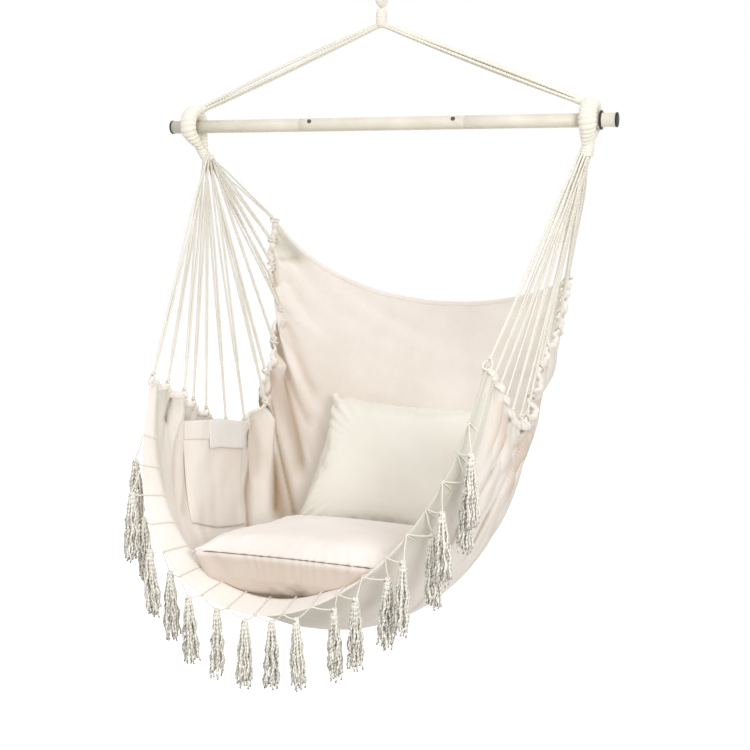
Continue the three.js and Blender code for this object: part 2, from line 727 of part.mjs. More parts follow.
function outerTube(side) {
  const spigotEnd = seamX - spigotLength;
  const mouth = barLength / 2 - capRim - seatGap;
  const corners = [
    [spigotBoreRadius, spigotEnd],
    [spigotRadius, spigotEnd],
    [spigotRadius, seamX],
    [barRadius, seamX],
    [barRadius, mouth],
    [boreRadius, mouth],
    [boreRadius, seamX + swageLength],
    [spigotBoreRadius, seamX],
  ];
  return barTube(mirrored(corners, side), [side]);
}

function endCap(side) {
  const face = barLength / 2 - capRim;
  const rim = barRadius + capRimOver;
  const corners = [
    [0, face - capReach],
    [boreRadius - seatGap, face - capReach],
    [boreRadius - seatGap, face],
    [rim, face],
    [rim, barLength / 2 - capRimOver],
    [rim - capRimOver, barLength / 2],
    [0, barLength / 2],
  ];
  const profile = mirrored(corners, side).map(([radius, x]) => new THREE.Vector2(radius, x));
  return new THREE.LatheGeometry(profile, tubeFacets).rotateZ(-Math.PI / 2).translate(0, 0, barZ);
}

function stopRing(side) {
  const inner = eyeSpacing / 2 + eyeHalfWidth + stopRunGap;
  const bore = barRadius + seatGap;
  const corners = [
    [bore, inner],
    [bore + stopHeight, inner],
    [bore + stopHeight, inner + stopWidth],
    [bore, inner + stopWidth],
  ];
  return turned(mirrored(corners, side), tubeFacets).translate(0, 0, barZ);
}

// Bent leaf spring: one leg lies on the tube's wall, the other carries the button.
function buttonSpring(side) {
  const wallReach = spigotBoreRadius * Math.cos(Math.PI / tubeFacets);
  const low = seatGap - Math.sqrt(wallReach ** 2 - (springWidth / 2) ** 2);
  const middle = (springLift + low) / 2;
  const bend = springPastButton - springLegLength;
  const insideBend = bend + (springThickness * springLegLength) / (springLift - middle);
  const outline = [
    [springPastButton, springLift],
    [bend, middle],
    [springPastButton, low],
    [springPastButton, low + springThickness],
    [insideBend, middle],
    [springPastButton, springLift - springThickness],
  ];
  const shape = new THREE.Shape(outline.map(([x, y]) => new THREE.Vector2(-side * x, y)));
  const leaf = new THREE.ExtrudeGeometry(shape, { depth: springWidth, bevelEnabled: false });
  const turned = leaf.translate(0, 0, -springWidth / 2).rotateX(Math.PI - buttonTurn);
  return turned.translate(side * buttonX, 0, barZ);
}

for (const [side, word] of [[-1, "left"], [1, "right"]]) {
  addPiece("bar_" + word + "_tube", geometryOf(outerTube(side)), materials.paintedTube);
  addPiece("end_cap_" + word, endCap(side), materials.blackPlastic);
  addPiece("stop_ring_" + word, stopRing(side), materials.blackPlastic);
  const button = buttonRod(side, buttonRadius, springLift + seatGap, barRadius + buttonProud, buttonEdge);
  addPiece("snap_button_" + word, button, materials.springSteel);
  addPiece("button_spring_" + word, buttonSpring(side), materials.springSteel);
}

// Fringe

const hemEdge = new THREE.CatmullRomCurve3(
  Array.from({ length: 2 * clothCellsAcross + 1 }, (_, i) => onSling(i / (2 * clothCellsAcross), 0, 0)),
);
const stitchClear = fringeCordRadius * fringeStitchShare + seatGap;
const stitches = steps([fringeStartShare, 1 - fringeStartShare], fringeStitches - 1).map((share) => {
  const across = hemEdge.getUtoTmapping(share);
  const away = slingPoint(across, 0).sub(slingPoint(across, slingStep)).normalize();
  return hemEdge.getPoint(across).addScaledVector(away, stitchClear);
});

// Where the cord hangs lowest between two stitches, and carries a tassel.
function lowPoint(i) {
  const middle = stitches[i].clone().add(stitches[i + 1]).divideScalar(2);
  const run = stitches[i + 1].clone().sub(stitches[i]).normalize();
  const steepness = Math.abs(run.z);
  const [outwards, forwards] = fringePlaces[i % fringePlaces.length];
  const outSide = i < stitches.length / 2 ? -1 : 1;
  const aside = outSide * outwards * steepness;
  const ahead = fringeForward + forwards * steepness;
  const drop = THREE.MathUtils.lerp(fringeDrop, fringeSag, steepness);
  return middle.add(new THREE.Vector3(aside, -ahead, -drop));
}

const lowPoints = stitches.slice(1).map((_, i) => lowPoint(i));
const fringeRoute = new THREE.CatmullRomCurve3([
  stitches[0],
  ...lowPoints.flatMap((point, i) => [point, stitches[i + 1]]),
]);
function fringeTube(radius) {
  const curve = new Winding((share) => fringeRoute.getPoint(share));
  return solidOf(ropeAlong(curve, radius, wrapSides, 2 * lowPoints.length));
}
const fringeCord = cutClearOf(fringeTube(fringeCordRadius), edgeSpaces);
addPiece("fringe_cord", geometryOf(fringeCord), materials.cottonRope);
const fringeSpace = fringeTube(fringeCordRadius + seatGap);

lowPoints.forEach((point, i) => {
  const outline = tasselShares.map(
    ([down, wide]) => new THREE.Vector2(tasselSkirtRadius * wide, -tasselLength * down),
  );
  const profile = [new THREE.Vector2(0, -tasselLength), ...outline.reverse(), new THREE.Vector2(0, 0)];
  const tassel = new THREE.LatheGeometry(profile, tasselFacets).rotateX(Math.PI / 2);
  const tied = cutClearOf(solidOf(tassel.translate(point.x, point.y, point.z)), [fringeSpace]);
  addPiece("tassel_" + String(i + 1).padStart(2, "0"), geometryOf(tied), materials.cottonRope);
});

export default model;
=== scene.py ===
import math
import random

import bmesh
import bpy
import numpy as np
from mathutils import Matrix, Vector
from mathutils.bvhtree import BVHTree


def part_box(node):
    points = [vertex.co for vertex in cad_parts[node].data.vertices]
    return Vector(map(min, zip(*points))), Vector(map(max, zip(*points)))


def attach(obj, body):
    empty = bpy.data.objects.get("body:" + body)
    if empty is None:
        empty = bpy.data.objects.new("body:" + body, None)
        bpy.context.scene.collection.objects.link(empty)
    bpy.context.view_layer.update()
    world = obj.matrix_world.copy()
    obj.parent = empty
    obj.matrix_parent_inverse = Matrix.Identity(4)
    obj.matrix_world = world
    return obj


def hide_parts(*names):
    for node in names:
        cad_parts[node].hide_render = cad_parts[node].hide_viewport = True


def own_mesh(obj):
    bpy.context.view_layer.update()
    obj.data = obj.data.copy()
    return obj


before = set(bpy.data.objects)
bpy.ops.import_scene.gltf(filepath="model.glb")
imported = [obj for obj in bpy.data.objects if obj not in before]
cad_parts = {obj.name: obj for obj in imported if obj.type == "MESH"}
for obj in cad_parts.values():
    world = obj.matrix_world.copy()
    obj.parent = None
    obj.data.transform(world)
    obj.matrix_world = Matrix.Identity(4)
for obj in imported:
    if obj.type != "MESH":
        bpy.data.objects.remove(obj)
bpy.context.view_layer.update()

# Camera
# A portrait lens of 64.8 mm at standing eye height, 2.9 m off to the right front of the chair and
# tipped down 8 degrees.
CAMERA_PLACE = (1.01294, -2.70839, -0.45734)
CAMERA_ROUND = math.radians(20.777)
CAMERA_DOWN = math.radians(7.961)
CAMERA_LENS, CAMERA_SENSOR = 64.8, 36.0  # millimetres
camera_data = bpy.data.cameras.new("camera")
camera_data.lens = CAMERA_LENS
camera_data.sensor_width = CAMERA_SENSOR
camera = bpy.data.objects.new("camera", camera_data)
camera.location = CAMERA_PLACE
camera.rotation_euler = (math.radians(90) - CAMERA_DOWN, 0, CAMERA_ROUND)
bpy.context.scene.collection.objects.link(camera)
bpy.context.scene.camera = camera


# Hanging ring
# A welded ring of 8 mm zinc-plated steel rod, polished by its plating. A hook bears inside its top, and the
# rope eye below wears its bottom.
def linear(hex_colour):
    """A colour written as sRGB hex, in the linear values that shaders take."""
    shares = [int(hex_colour[i : i + 2], 16) / 255 for i in (1, 3, 5)]
    return [c / 12.92 if c <= 0.04045 else ((c + 0.055) / 1.055) ** 2.4 for c in shares] + [1.0]


def add_node(material, kind, inputs=None, links=None, **settings):
    """Adds a node with its settings, its inputs' values and the outputs that feed its inputs."""
    node = material.node_tree.nodes.new(kind)
    for name, value in settings.items():
        setattr(node, name, value)
    for socket, value in (inputs or {}).items():
        node.inputs[socket].default_value = value
    for socket, output in (links or {}).items():
        material.node_tree.links.new(output, node.inputs[socket])
    return node


def new_material(name, **surface):
    """A material with one Principled surface, whose own sockets take the values given."""
    material = bpy.data.materials.new(name)
    material.use_nodes = True
    shader = material.node_tree.nodes["Principled BSDF"]
    for socket, value in surface.items():
        shader.inputs[socket.replace("_", " ")].default_value = value
    return material


def feed(material, **outputs):
    """Lets outputs of nodes feed the sockets of a material's surface."""
    shader = material.node_tree.nodes["Principled BSDF"]
    for socket, output in outputs.items():
        material.node_tree.links.new(output, shader.inputs[socket.replace("_", " ")])


def noise(material, scale, detail, roughness=0.5):
    """A noise texture over the object's own places."""
    places = add_node(material, "ShaderNodeTexCoord").outputs["Object"]
    inputs = {"Scale": scale, "Detail": detail, "Roughness": roughness}
    return add_node(material, "ShaderNodeTexNoise", inputs, {"Vector": places}).outputs["Fac"]


def ramp(material, value, dark, light, start=0.0, end=1.0):
    """A tone that goes from dark to light while a value goes from start to end."""
    tones = add_node(material, "ShaderNodeValToRGB", links={"Fac": value})
    for stop, place, colour in zip(tones.color_ramp.elements, (start, end), (dark, light)):
        stop.position = place
        stop.color = linear(colour)
    return tones.outputs["Color"]


def spread_over(material, value, low, high, start=0.0, end=1.0):
    """A value that goes from start to end, turned into one that goes from low to high."""
    inputs = {"From Min": start, "From Max": end, "To Min": low, "To Max": high}
    return add_node(material, "ShaderNodeMapRange", inputs, {"Value": value}).outputs["Result"]


# Zinc plate on steel: a cool bright metal whose gloss is broken by faint handling marks
ring_steel = new_material("zinc_plated_steel", Metallic=1.0)
marks = noise(ring_steel, 160.0, 4.0)
feed(
    ring_steel,
    Base_Color=ramp(ring_steel, marks, "#AEB1B4", "#D4D6D8"),
    Roughness=spread_over(ring_steel, marks, 0.16, 0.38),
)


def shaped_grid(bm, along, around, place):
    """Lays a grid of quads and bends it by place(share along, share around), then welds where it meets."""
    made = bmesh.ops.create_grid(bm, x_segments=along, y_segments=around, size=0.5)["verts"]
    shares = np.array([v.co[:2] for v in made]) + 0.5
    for vertex, point in zip(made, place(shares[:, 0], shares[:, 1])):
        vertex.co = point
    bmesh.ops.remove_doubles(bm, verts=made, dist=1e-6)
    return bm


def new_object(name, bm):
    """Makes an object of a bmesh and frees the bmesh."""
    mesh = bpy.data.meshes.new(name)
    bm.to_mesh(mesh)
    bm.free()
    made = bpy.data.objects.new(name, mesh)
    bpy.context.scene.collection.objects.link(made)
    return made


def dress(piece, material, body, replaced):
    """Gives a piece smooth faces, its material and body, and hides the solids that it stands for."""
    piece.data.polygons.foreach_set("use_smooth", [True] * len(piece.data.polygons))
    piece.data.materials.clear()
    piece.data.materials.append(material)
    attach(piece, body)
    if replaced:
        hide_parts(*replaced)
    return piece


def finish_piece(name, bm, material, body, replaced=()):
    """Closes open ends, turns the faces outwards and makes the piece's object."""
    bmesh.ops.holes_fill(bm, edges=[e for e in bm.edges if e.is_boundary], sides=0)
    bmesh.ops.recalc_face_normals(bm, faces=bm.faces)
    return dress(new_object(name, bm), material, body, replaced)


RING_INNER = 0.025
RING_WIRE = 0.004


def ring_surface(along, around):
    """The ring's rod, bent round below the origin."""
    a, b = 2 * np.pi * along, 2 * np.pi * around
    reach = RING_INNER + RING_WIRE + RING_WIRE * np.cos(b)
    return np.stack([reach * np.sin(a), RING_WIRE * np.sin(b), reach * np.cos(a) - RING_INNER], 1)


bm = shaped_grid(bmesh.new(), 96, 24, ring_surface)
finish_piece("ring_rod", bm, ring_steel, "hanging_ring", ["hanging_ring"])

# Top eye and head
# The bundles' ropes pass round the ring as one eye, whipped turn by turn with thin cotton rope, and a
# whipped head below gathers them. It is undyed cotton, soft and matt, a little fuzzy.
def bump(material, height, strength, distance):
    """A relief as high as a value, up to a distance in metres."""
    inputs = {"Strength": strength, "Distance": distance}
    return add_node(material, "ShaderNodeBump", inputs, {"Height": height}).outputs["Normal"]


def with_part(material, main, part, extra):
    """A value with a part of another added to it."""
    links = {0: extra, 2: main}
    return add_node(material, "ShaderNodeMath", {1: part}, links, operation="MULTIPLY_ADD").outputs["Value"]


# Twisted cotton: warm off-white fibres, matt, with soft clouds of a slightly greyer tone
cotton_rope = new_material(
    "twisted_cotton_rope", Roughness=0.92, Sheen_Weight=0.25, Sheen_Roughness=0.6, Specular_IOR_Level=0.2
)
fibres = noise(cotton_rope, 900.0, 3.0)
clouded = with_part(cotton_rope, fibres, 0.6, noise(cotton_rope, 18.0, 2.0))
feed(
    cotton_rope,
    Base_Color=ramp(cotton_rope, clouded, "#E6E0D1", "#F8F4E9", 0.45, 1.0),
    Normal=bump(cotton_rope, fibres, 0.5, 0.0004),
)


def whipped(path, across, up, half_wide, half_high, turns, depth=0.0016):
    """Surface of a core whipped with rope: path(share) gives its centre line, across and up its section."""

    def surface(along, around):
        round_section = 2 * np.pi * around
        turn = np.mod(turns * along + around, 1.0)
        proud = depth * np.sqrt(1 - (2 * turn - 1) ** 2)
        wide = half_wide(along) - depth + proud
        high = half_high(along) - depth + proud
        side = across(along) * (wide * np.sin(round_section))[:, None]
        return path(along) + side + up(along) * (high * np.cos(round_section))[:, None]

    return surface


def steady(vector):
    """The same direction all along a path."""
    return lambda share: np.tile(np.array(vector, float), (len(share), 1))


def straight(start, way):
    """A straight path from a start along a way."""
    return lambda share: start + share[:, None] * way


def sized(size, growth=0.0):
    """A size along a path, which is larger by growth at its end than at its start."""
    return lambda share: size + growth * share


TOP_EYE_RADIUS = 0.020  # to the rope's middle
TOP_EYE_Z = -0.06165
TOP_EYE_ROPE = 0.0078
TOP_EYE_TURNS = 29
HEAD_TURNS = 9


def top_eye_path(share):
    """The middle line of the rope eye, round the bottom of the ring."""
    a = 2 * np.pi * share
    return np.stack([0 * a, TOP_EYE_RADIUS * np.sin(a), TOP_EYE_Z + TOP_EYE_RADIUS * np.cos(a)], 1)


def top_eye_out(share):
    """The direction out from the eye's centre."""
    a = 2 * np.pi * share
    return np.stack([0 * a, np.sin(a), np.cos(a)], 1)


thick = sized(TOP_EYE_ROPE)
whipping = whipped(top_eye_path, steady((1, 0, 0)), top_eye_out, thick, thick, TOP_EYE_TURNS)
bm = shaped_grid(bmesh.new(), 8 * TOP_EYE_TURNS, 24, whipping)
finish_piece("top_eye_whipped", bm, cotton_rope, "top_eye", ["top_eye"])

HEAD_TOP, HEAD_FOOT, HEAD_RADIUS = -0.0898, -0.1302, 0.0100


def head_surface(along, around):
    """The whipped head, rounded off at its ends."""
    height = HEAD_TOP + (HEAD_FOOT - HEAD_TOP) * along
    turn = np.mod(HEAD_TURNS * along + around, 1.0)
    ends = np.sqrt(np.clip(1 - np.abs(2 * along - 1) ** 5, 0, 1))
    reach = (HEAD_RADIUS + 0.0018 * np.sqrt(1 - (2 * turn - 1) ** 2)) * ends
    a = 2 * np.pi * around
    return np.stack([reach * np.cos(a), reach * np.sin(a), height], 1)


bm = shaped_grid(bmesh.new(), 10 * HEAD_TURNS, 32, head_surface)
solids = ["rope_head", "head_whipping"]
finish_piece("rope_head_whipped", bm, cotton_rope, "rope_head", solids)

# Rope bundles
# Five thin laid ropes on each side run from the head down to the eyes on the bar. They stand a little apart
# half way, and a short whipping holds them where they leave the eye.
SIDES = ((-1, "left"), (1, "right"))
BAR_Z = -0.327
EYE_X = 0.447
HEAD_BALL = np.array([0.0, 0.0, -0.122])
HANG_ROPES = 5
HANG_ROPE_RADIUS = 0.0029
BUNDLE_TURNS = 4  # of the whipping at the bundle's foot
BUNDLE_RADIUS = 0.0088
BUNDLE_WHIPPED = 0.018  # the whipping's length
LAID_EVERY = 0.024  # metres in which a strand of the thick ropes goes round once


def hammock_rope(name, bm, *solids):
    """Makes a piece of cotton rope that moves with the hammock."""
    finish_piece(name, bm, cotton_rope, "hammock", solids)


def unit(vectors):
    """The same directions, each with a length of one."""
    return vectors / np.linalg.norm(vectors, axis=-1, keepdims=True)


def run_along(points):
    """How far along a polyline each of its points lies."""
    return np.concatenate([[0], np.cumsum(np.linalg.norm(np.diff(points, axis=0), axis=1))])


def along_route(points, share):
    """Points at shares of a polyline's length."""
    run = run_along(points)
    return np.stack([np.interp(share * run[-1], run, points[:, k]) for k in range(3)], 1)


def smooth_route(corners, count):
    """A smooth line of count points through a few corner points."""
    corners = np.array(corners, float)
    ends = [2 * corners[0] - corners[1], *corners, 2 * corners[-1] - corners[-2]]
    line = []
    for a, b, c, d in zip(ends, ends[1:], ends[2:], ends[3:]):
        bend, twist = 2 * a - 5 * b + 4 * c - d, 3 * b - a - 3 * c + d
        for t in np.linspace(0, 1, 12, endpoint=False):
            line.append(0.5 * (2 * b + (c - a) * t + bend * t**2 + twist * t**3))
    line.append(corners[-1])
    return along_route(np.array(line), np.linspace(0, 1, count))


def lay_rope(bm, route, radius, lay, sides=9, strands=3, taper=0.0):
    """Adds a rope of twisted strands along a route of even steps; its lobes turn once in each lay."""
    ahead = unit(np.gradient(route, axis=0))
    side = np.cross(ahead[0], (0.31, 0.52, 0.79))
    frames = []
    for direction in ahead:
        side = unit(side - direction * side.dot(direction))
        frames.append(side)
    frames = np.array(frames)
    up = np.cross(ahead, frames)
    run = run_along(route)

    def surface(along, around):
        i = np.rint(along * (len(route) - 1)).astype(int)
        lobe = 2 * np.pi * around
        turned = lobe + 2 * np.pi * run[i] / lay
        reach = radius * (0.78 + 0.3 * np.abs(np.sin(strands * lobe / 2))) * (1 - taper * along)
        aside = frames[i] * (reach * np.cos(turned))[:, None]
        return route[i] + aside + up[i] * (reach * np.sin(turned))[:, None]

    shaped_grid(bm, len(route) - 1, sides, surface)


for side, word in SIDES:
    foot = np.array([side * (EYE_X - 0.004), 0.0, BAR_Z + 0.031])
    way = foot - HEAD_BALL
    down = unit(way)
    upwards = np.array([-down[2], 0.0, down[0]]) * side
    bm = bmesh.new()
    chance = random.Random(3 + side)
    for i in range(HANG_ROPES):
        angle = 2 * math.pi * (i + 0.25) / HANG_ROPES
        out = upwards * math.cos(angle) + np.array([0, math.sin(angle), 0])
        spread = 0.0085 + 0.002 * chance.uniform(-1, 1)
        corners = [
            HEAD_BALL + out * 0.003 + down * 0.002,
            HEAD_BALL + way * 0.28 + out * (spread * 0.8),
            HEAD_BALL + way * 0.55 + out * spread,
            HEAD_BALL + way * 0.85 + out * 0.0062,
            HEAD_BALL + way * 0.95 + out * 0.0045,
            foot + out * 0.0035,
        ]
        lay_rope(bm, smooth_route(corners, 420), HANG_ROPE_RADIUS, LAID_EVERY, sides=12)
    band_top = foot - down * 0.031
    band_path = straight(band_top, down * BUNDLE_WHIPPED)
    wide = sized(BUNDLE_RADIUS)
    whipping = whipped(band_path, steady((0, 1, 0)), steady(upwards), wide, wide, BUNDLE_TURNS)
    shaped_grid(bm, 12 * BUNDLE_TURNS, 24, whipping)
    hammock_rope("hanging_ropes_" + word, bm, "rope_bundle_" + word)

# Rope eyes and necks
# The body cords are gathered into a padded teardrop loop round the bar. Soft cotton rope is whipped round
# it side by side, and a tight band closes the neck below, where the cords fan out.
EYE_SHIFT = 0.0028  # towards the chair's middle, off the stop ring
EYE_PATH = 0.0285  # radius of the eye's middle line round the bar
EYE_TURNS, EYE_COIL = 23, 0.0027  # the whipping's turns, and how far its rope stands out
NECK_TURNS, NECK_COIL = 5, 0.0026
NECK_HALF_WIDE, NECK_WIDENS = 0.0125, 0.0035
EYE_HALF_WIDE = 0.0186
EYE_HALF_HIGH = 0.0138
EYE_ARC = math.radians(118)  # each way from the top, where the legs leave the circle
NECK_DROP = 0.068
NECK_LEAN = {-1: 0.035, 1: 0.011}
LEG_DROP = 0.052


def eye_lean(side, height):
    """How far the loop has leaned towards the chair's middle at a height below the bar."""
    return -side * NECK_LEAN[side] * np.clip((-height - 0.012) / (NECK_DROP - 0.012), 0, 1) ** 1.3


for side, word in SIDES:
    arc = np.linspace(-EYE_ARC, EYE_ARC, 81)
    rise = 0.0035 * np.clip(np.cos(arc), 0, 1) ** 2
    circle = np.stack([EYE_PATH * np.sin(arc), EYE_PATH * np.cos(arc) + rise], 1)
    leg = np.linspace(0, 1, 25)[1:, None]
    right_leg = circle[-1] * (1 - leg) + np.array([0.0042, -LEG_DROP]) * leg
    left_leg = right_leg[::-1] * (-1, 1)
    loop = np.concatenate([left_leg, circle, right_leg])
    centre_x = side * (EYE_X - EYE_SHIFT)
    line = np.stack([centre_x + eye_lean(side, loop[:, 1]), loop[:, 0], BAR_Z + loop[:, 1]], 1)

    def eye_path(share):
        return along_route(line, share)

    def eye_out(share):
        before, after = np.clip(share - 0.01, 0, 1), np.clip(share + 0.01, 0, 1)
        return unit(np.cross(along_route(line, after) - along_route(line, before), (1.0, 0.0, 0.0)))

    def eye_wide(share):
        ends = np.clip(np.minimum(share, 1 - share) / 0.27, 0, 1)
        return 0.0085 + (EYE_HALF_WIDE - 0.0085) * np.sin(ends * np.pi / 2) ** 1.2

    def eye_high(share):
        ends = np.clip(np.minimum(share, 1 - share) / 0.22, 0, 1)
        return 0.0062 + (EYE_HALF_HIGH - 0.0062) * np.sin(ends * np.pi / 2)

    whipping = whipped(eye_path, steady((1, 0, 0)), eye_out, eye_wide, eye_high, EYE_TURNS, EYE_COIL)
    bm = shaped_grid(bmesh.new(), 12 * EYE_TURNS, 36, whipping)
    hammock_rope("eye_loop_" + word, bm, "rope_eye_" + word, "eye_wrap_" + word)
    neck_foot = np.array([side * (EYE_X - NECK_LEAN[side]), 0.0, BAR_Z - NECK_DROP - 0.003])
    neck_head = np.array([side * EYE_X + eye_lean(side, -0.043), 0.0, BAR_Z - 0.043])
    neck_path = straight(neck_head, neck_foot - neck_head)
    wide = sized(NECK_HALF_WIDE, NECK_WIDENS)
    whipping = whipped(neck_path, steady((1, 0, 0)), steady((0, 1, 0)), wide, wide, NECK_TURNS, NECK_COIL)
    bm = shaped_grid(bmesh.new(), 10 * NECK_TURNS, 32, whipping)
    hammock_rope("neck_band_" + word, bm, "neck_whipping_" + word)

# Canvas sling
# One piece of undyed cotton canvas hangs from its two side edges. It is gathered onto the cords, so pleats
# run down from every cord, deep folds fall into the corners of the seat, and the middle lies smooth.
SLING_ROWS = np.array(
    [
        [[-1.057, -0.986, 0.518], [-1.27, -1.257, 1.14], [0.75, -1.257, 1.04], [0.963, -0.986, 0.454]],
        [[-1.054, -0.643, 0.566], [-1.257, -0.671, 1.215], [0.9, -0.671, 1.18], [0.977, -0.829, 0.512]],
        [[-1.091, -0.257, 0.629], [-1.2, -0.2, 1.23], [0.9, -0.171, 1.215], [0.957, -0.486, 0.581]],
        [[-1.074, 0.271, 0.684], [-1.143, 0.357, 1.175], [0.8, 0.4, 1.16], [0.96, -0.129, 0.605]],
        [[-1.066, 0.586, 0.573], [-1.143, 0.7, 1.02], [0.88, 0.686, 1.015], [0.98, 0.086, 0.507]],
        [[-1.054, 0.737, 0.428], [-1.214, 0.843, 0.775], [0.93, 0.814, 0.78], [0.994, 0.429, 0.439]],
        [[-1.083, 0.714, 0.31], [-1.029, 0.891, 0.61], [0.97, 0.871, 0.61], [0.989, 0.629, 0.373]],
        [[-1.054, 0.737, 0.206], [-0.571, 0.914, 0.455], [0.614, 0.914, 0.415], [0.994, 0.737, 0.333]],
    ]
) * (0.35, 0.35, -1.0) + (0, 0, BAR_Z)


def segment_curves(column):
    """Cubic coefficients of the smooth line through one column of the sling's control points."""
    padded = [2 * column[0] - column[1], *column, 2 * column[-1] - column[-2]]
    curves = []
    for a, b, c, d in zip(padded, padded[1:], padded[2:], padded[3:]):
        first, middle, last = (np.linalg.norm(q - p) ** 0.5 for p, q in ((a, b), (b, c), (c, d)))
        start = ((b - a) / first - (c - a) / (first + middle) + (c - b) / middle) * middle
        end = ((c - b) / middle - (d - b) / (middle + last) + (d - c) / last) * middle
        curves.append([b, start, -3 * b + 3 * c - 2 * start - end, 2 * b - 2 * c + start + end])
    return curves


SLING_CURVES = np.array([segment_curves(SLING_ROWS[:, k]) for k in range(4)])


def drape(across, along):
    """Points of the smooth sling, across from left 0 to right 1, along from the front 0 to the back 1."""
    across, along = np.broadcast_arrays(np.asarray(across, float), np.asarray(along, float))
    spans = SLING_CURVES.shape[1]
    span = np.clip(np.floor(along * spans), 0, spans - 1).astype(int)
    part = along * spans - span
    powers = np.stack([part**n for n in range(4)], -1)
    controls = np.einsum("k...nd,...n->k...d", SLING_CURVES[:, span], powers)
    left = 1 - across
    weights = np.stack([left**3, 3 * left**2 * across, 3 * left * across**2, across**3])
    return np.einsum("k...d,k...->...d", controls, weights)


def inwards(across, along):
    """Unit direction from the cloth towards the sitter."""
    step = 0.004
    along = np.clip(along, 0, 1)
    low, high = np.clip(along - step, 0, 1), np.clip(along + step, 0, 1)
    sideways = drape(across + step, along) - drape(across - step, along)
    return unit(np.cross(sideways, drape(across, high) - drape(across, low)))


# Three folds of the right wall that also have a crease
LOW_FOLD = [(0.97, 0.235), (0.93, 0.188), (0.9, 0.155), (0.85, 0.125), (0.8, 0.115)]
MIDDLE_FOLD = [(0.985, 0.4), (0.967, 0.377), (0.933, 0.312), (0.892, 0.258), (0.85, 0.228), (0.79, 0.21)]
HIGH_FOLD = [(0.975, 0.45), (0.962, 0.43), (0.925, 0.37), (0.875, 0.34), (0.82, 0.325), (0.76, 0.3)]
# Each fold is a line of places (across, along) on the cloth, how far it stands towards the sitter, half its
# width, in metres, and which way it leans: its steep side is to the right (1) or left (-1) of the line
FOLDS = [
    ([(0.0, 0.5), (0.05, 0.505), (0.1, 0.49), (0.15, 0.455), (0.2, 0.41)], 0.040, 0.030, 1),
    ([(0.01, 0.545), (0.07, 0.54), (0.13, 0.52), (0.18, 0.487), (0.215, 0.452)], -0.022, 0.012, 1),
    ([(0.03, 0.565), (0.08, 0.552), (0.15, 0.528), (0.2, 0.5), (0.235, 0.468)], 0.014, 0.012, 1),
    ([(0.06, 0.585), (0.11, 0.575), (0.165, 0.55), (0.215, 0.522), (0.25, 0.49)], -0.013, 0.010, 1),
    ([(0.0, 0.6), (0.06, 0.64), (0.12, 0.65), (0.17, 0.63), (0.215, 0.585), (0.26, 0.52)], 0.036, 0.028, 1),
    ([(0.04, 0.69), (0.11, 0.692), (0.17, 0.675), (0.215, 0.645), (0.26, 0.59)], -0.022, 0.015, 1),
    ([(0.0, 0.72), (0.07, 0.745), (0.14, 0.735), (0.2, 0.7), (0.26, 0.655), (0.32, 0.59)], 0.026, 0.024, 1),
    ([(0.06, 0.79), (0.158, 0.785), (0.225, 0.72), (0.279, 0.665), (0.34, 0.6)], -0.013, 0.020, 1),
    ([(0.0, 0.8), (0.08, 0.83), (0.16, 0.82), (0.24, 0.77), (0.32, 0.7)], 0.010, 0.030, 1),
    ([(0.046, 0.915), (0.08, 0.945), (0.113, 0.972), (0.16, 0.995)], -0.008, 0.011, -1),
    ([(0.0, 0.9), (0.04, 0.895), (0.108, 0.87), (0.179, 0.83), (0.25, 0.77)], 0.009, 0.02, 1),
    ([(0.0, 0.104), (0.02, 0.09), (0.05, 0.071), (0.09, 0.055)], -0.011, 0.009, 1),
    ([(0.0, 0.145), (0.03, 0.13), (0.08, 0.1), (0.14, 0.07)], 0.013, 0.014, -1),
    ([(0.0, 0.212), (0.02, 0.206), (0.05, 0.19), (0.1, 0.16)], -0.010, 0.010, -1),
    ([(0.0, 0.455), (0.029, 0.446), (0.096, 0.425), (0.171, 0.367), (0.2, 0.34)], -0.018, 0.014, 1),
    ([(1.0, 0.175), (0.946, 0.163), (0.9, 0.13), (0.85, 0.1), (0.8, 0.08)], -0.012, 0.014, 1),
    (LOW_FOLD, 0.016, 0.008, 1),
    ([(0.983, 0.33), (0.946, 0.25), (0.9, 0.195), (0.846, 0.165), (0.787, 0.16)], -0.008, 0.016, 1),
    (MIDDLE_FOLD, 0.030, 0.011, 1),
    ([(0.975, 0.41), (0.93, 0.34), (0.885, 0.298), (0.84, 0.28), (0.77, 0.255)], -0.010, 0.012, 1),
    (HIGH_FOLD, 0.028, 0.011, 1),
    ([(1.0, 0.47), (0.96, 0.455), (0.9, 0.41), (0.83, 0.38), (0.75, 0.35)], -0.003, 0.016, 1),
    ([(1.0, 0.115), (0.97, 0.11), (0.942, 0.1), (0.904, 0.083), (0.86, 0.06)], -0.012, 0.012, 1),
    ([(1.0, 0.51), (0.95, 0.495), (0.88, 0.455), (0.8, 0.42), (0.7, 0.38)], 0.008, 0.014, 1),
    ([(1.0, 0.55), (0.93, 0.54), (0.86, 0.51), (0.78, 0.47), (0.68, 0.42)], -0.003, 0.020, 1),
    ([(1.0, 0.61), (0.93, 0.6), (0.85, 0.58), (0.75, 0.54)], 0.012, 0.022, 1),
    ([(1.0, 0.72), (0.93, 0.7), (0.84, 0.67), (0.74, 0.62)], -0.010, 0.022, 1),
]
STEEP_SIDE, GENTLE_SIDE = 0.5, 1.35  # of a fold's half width
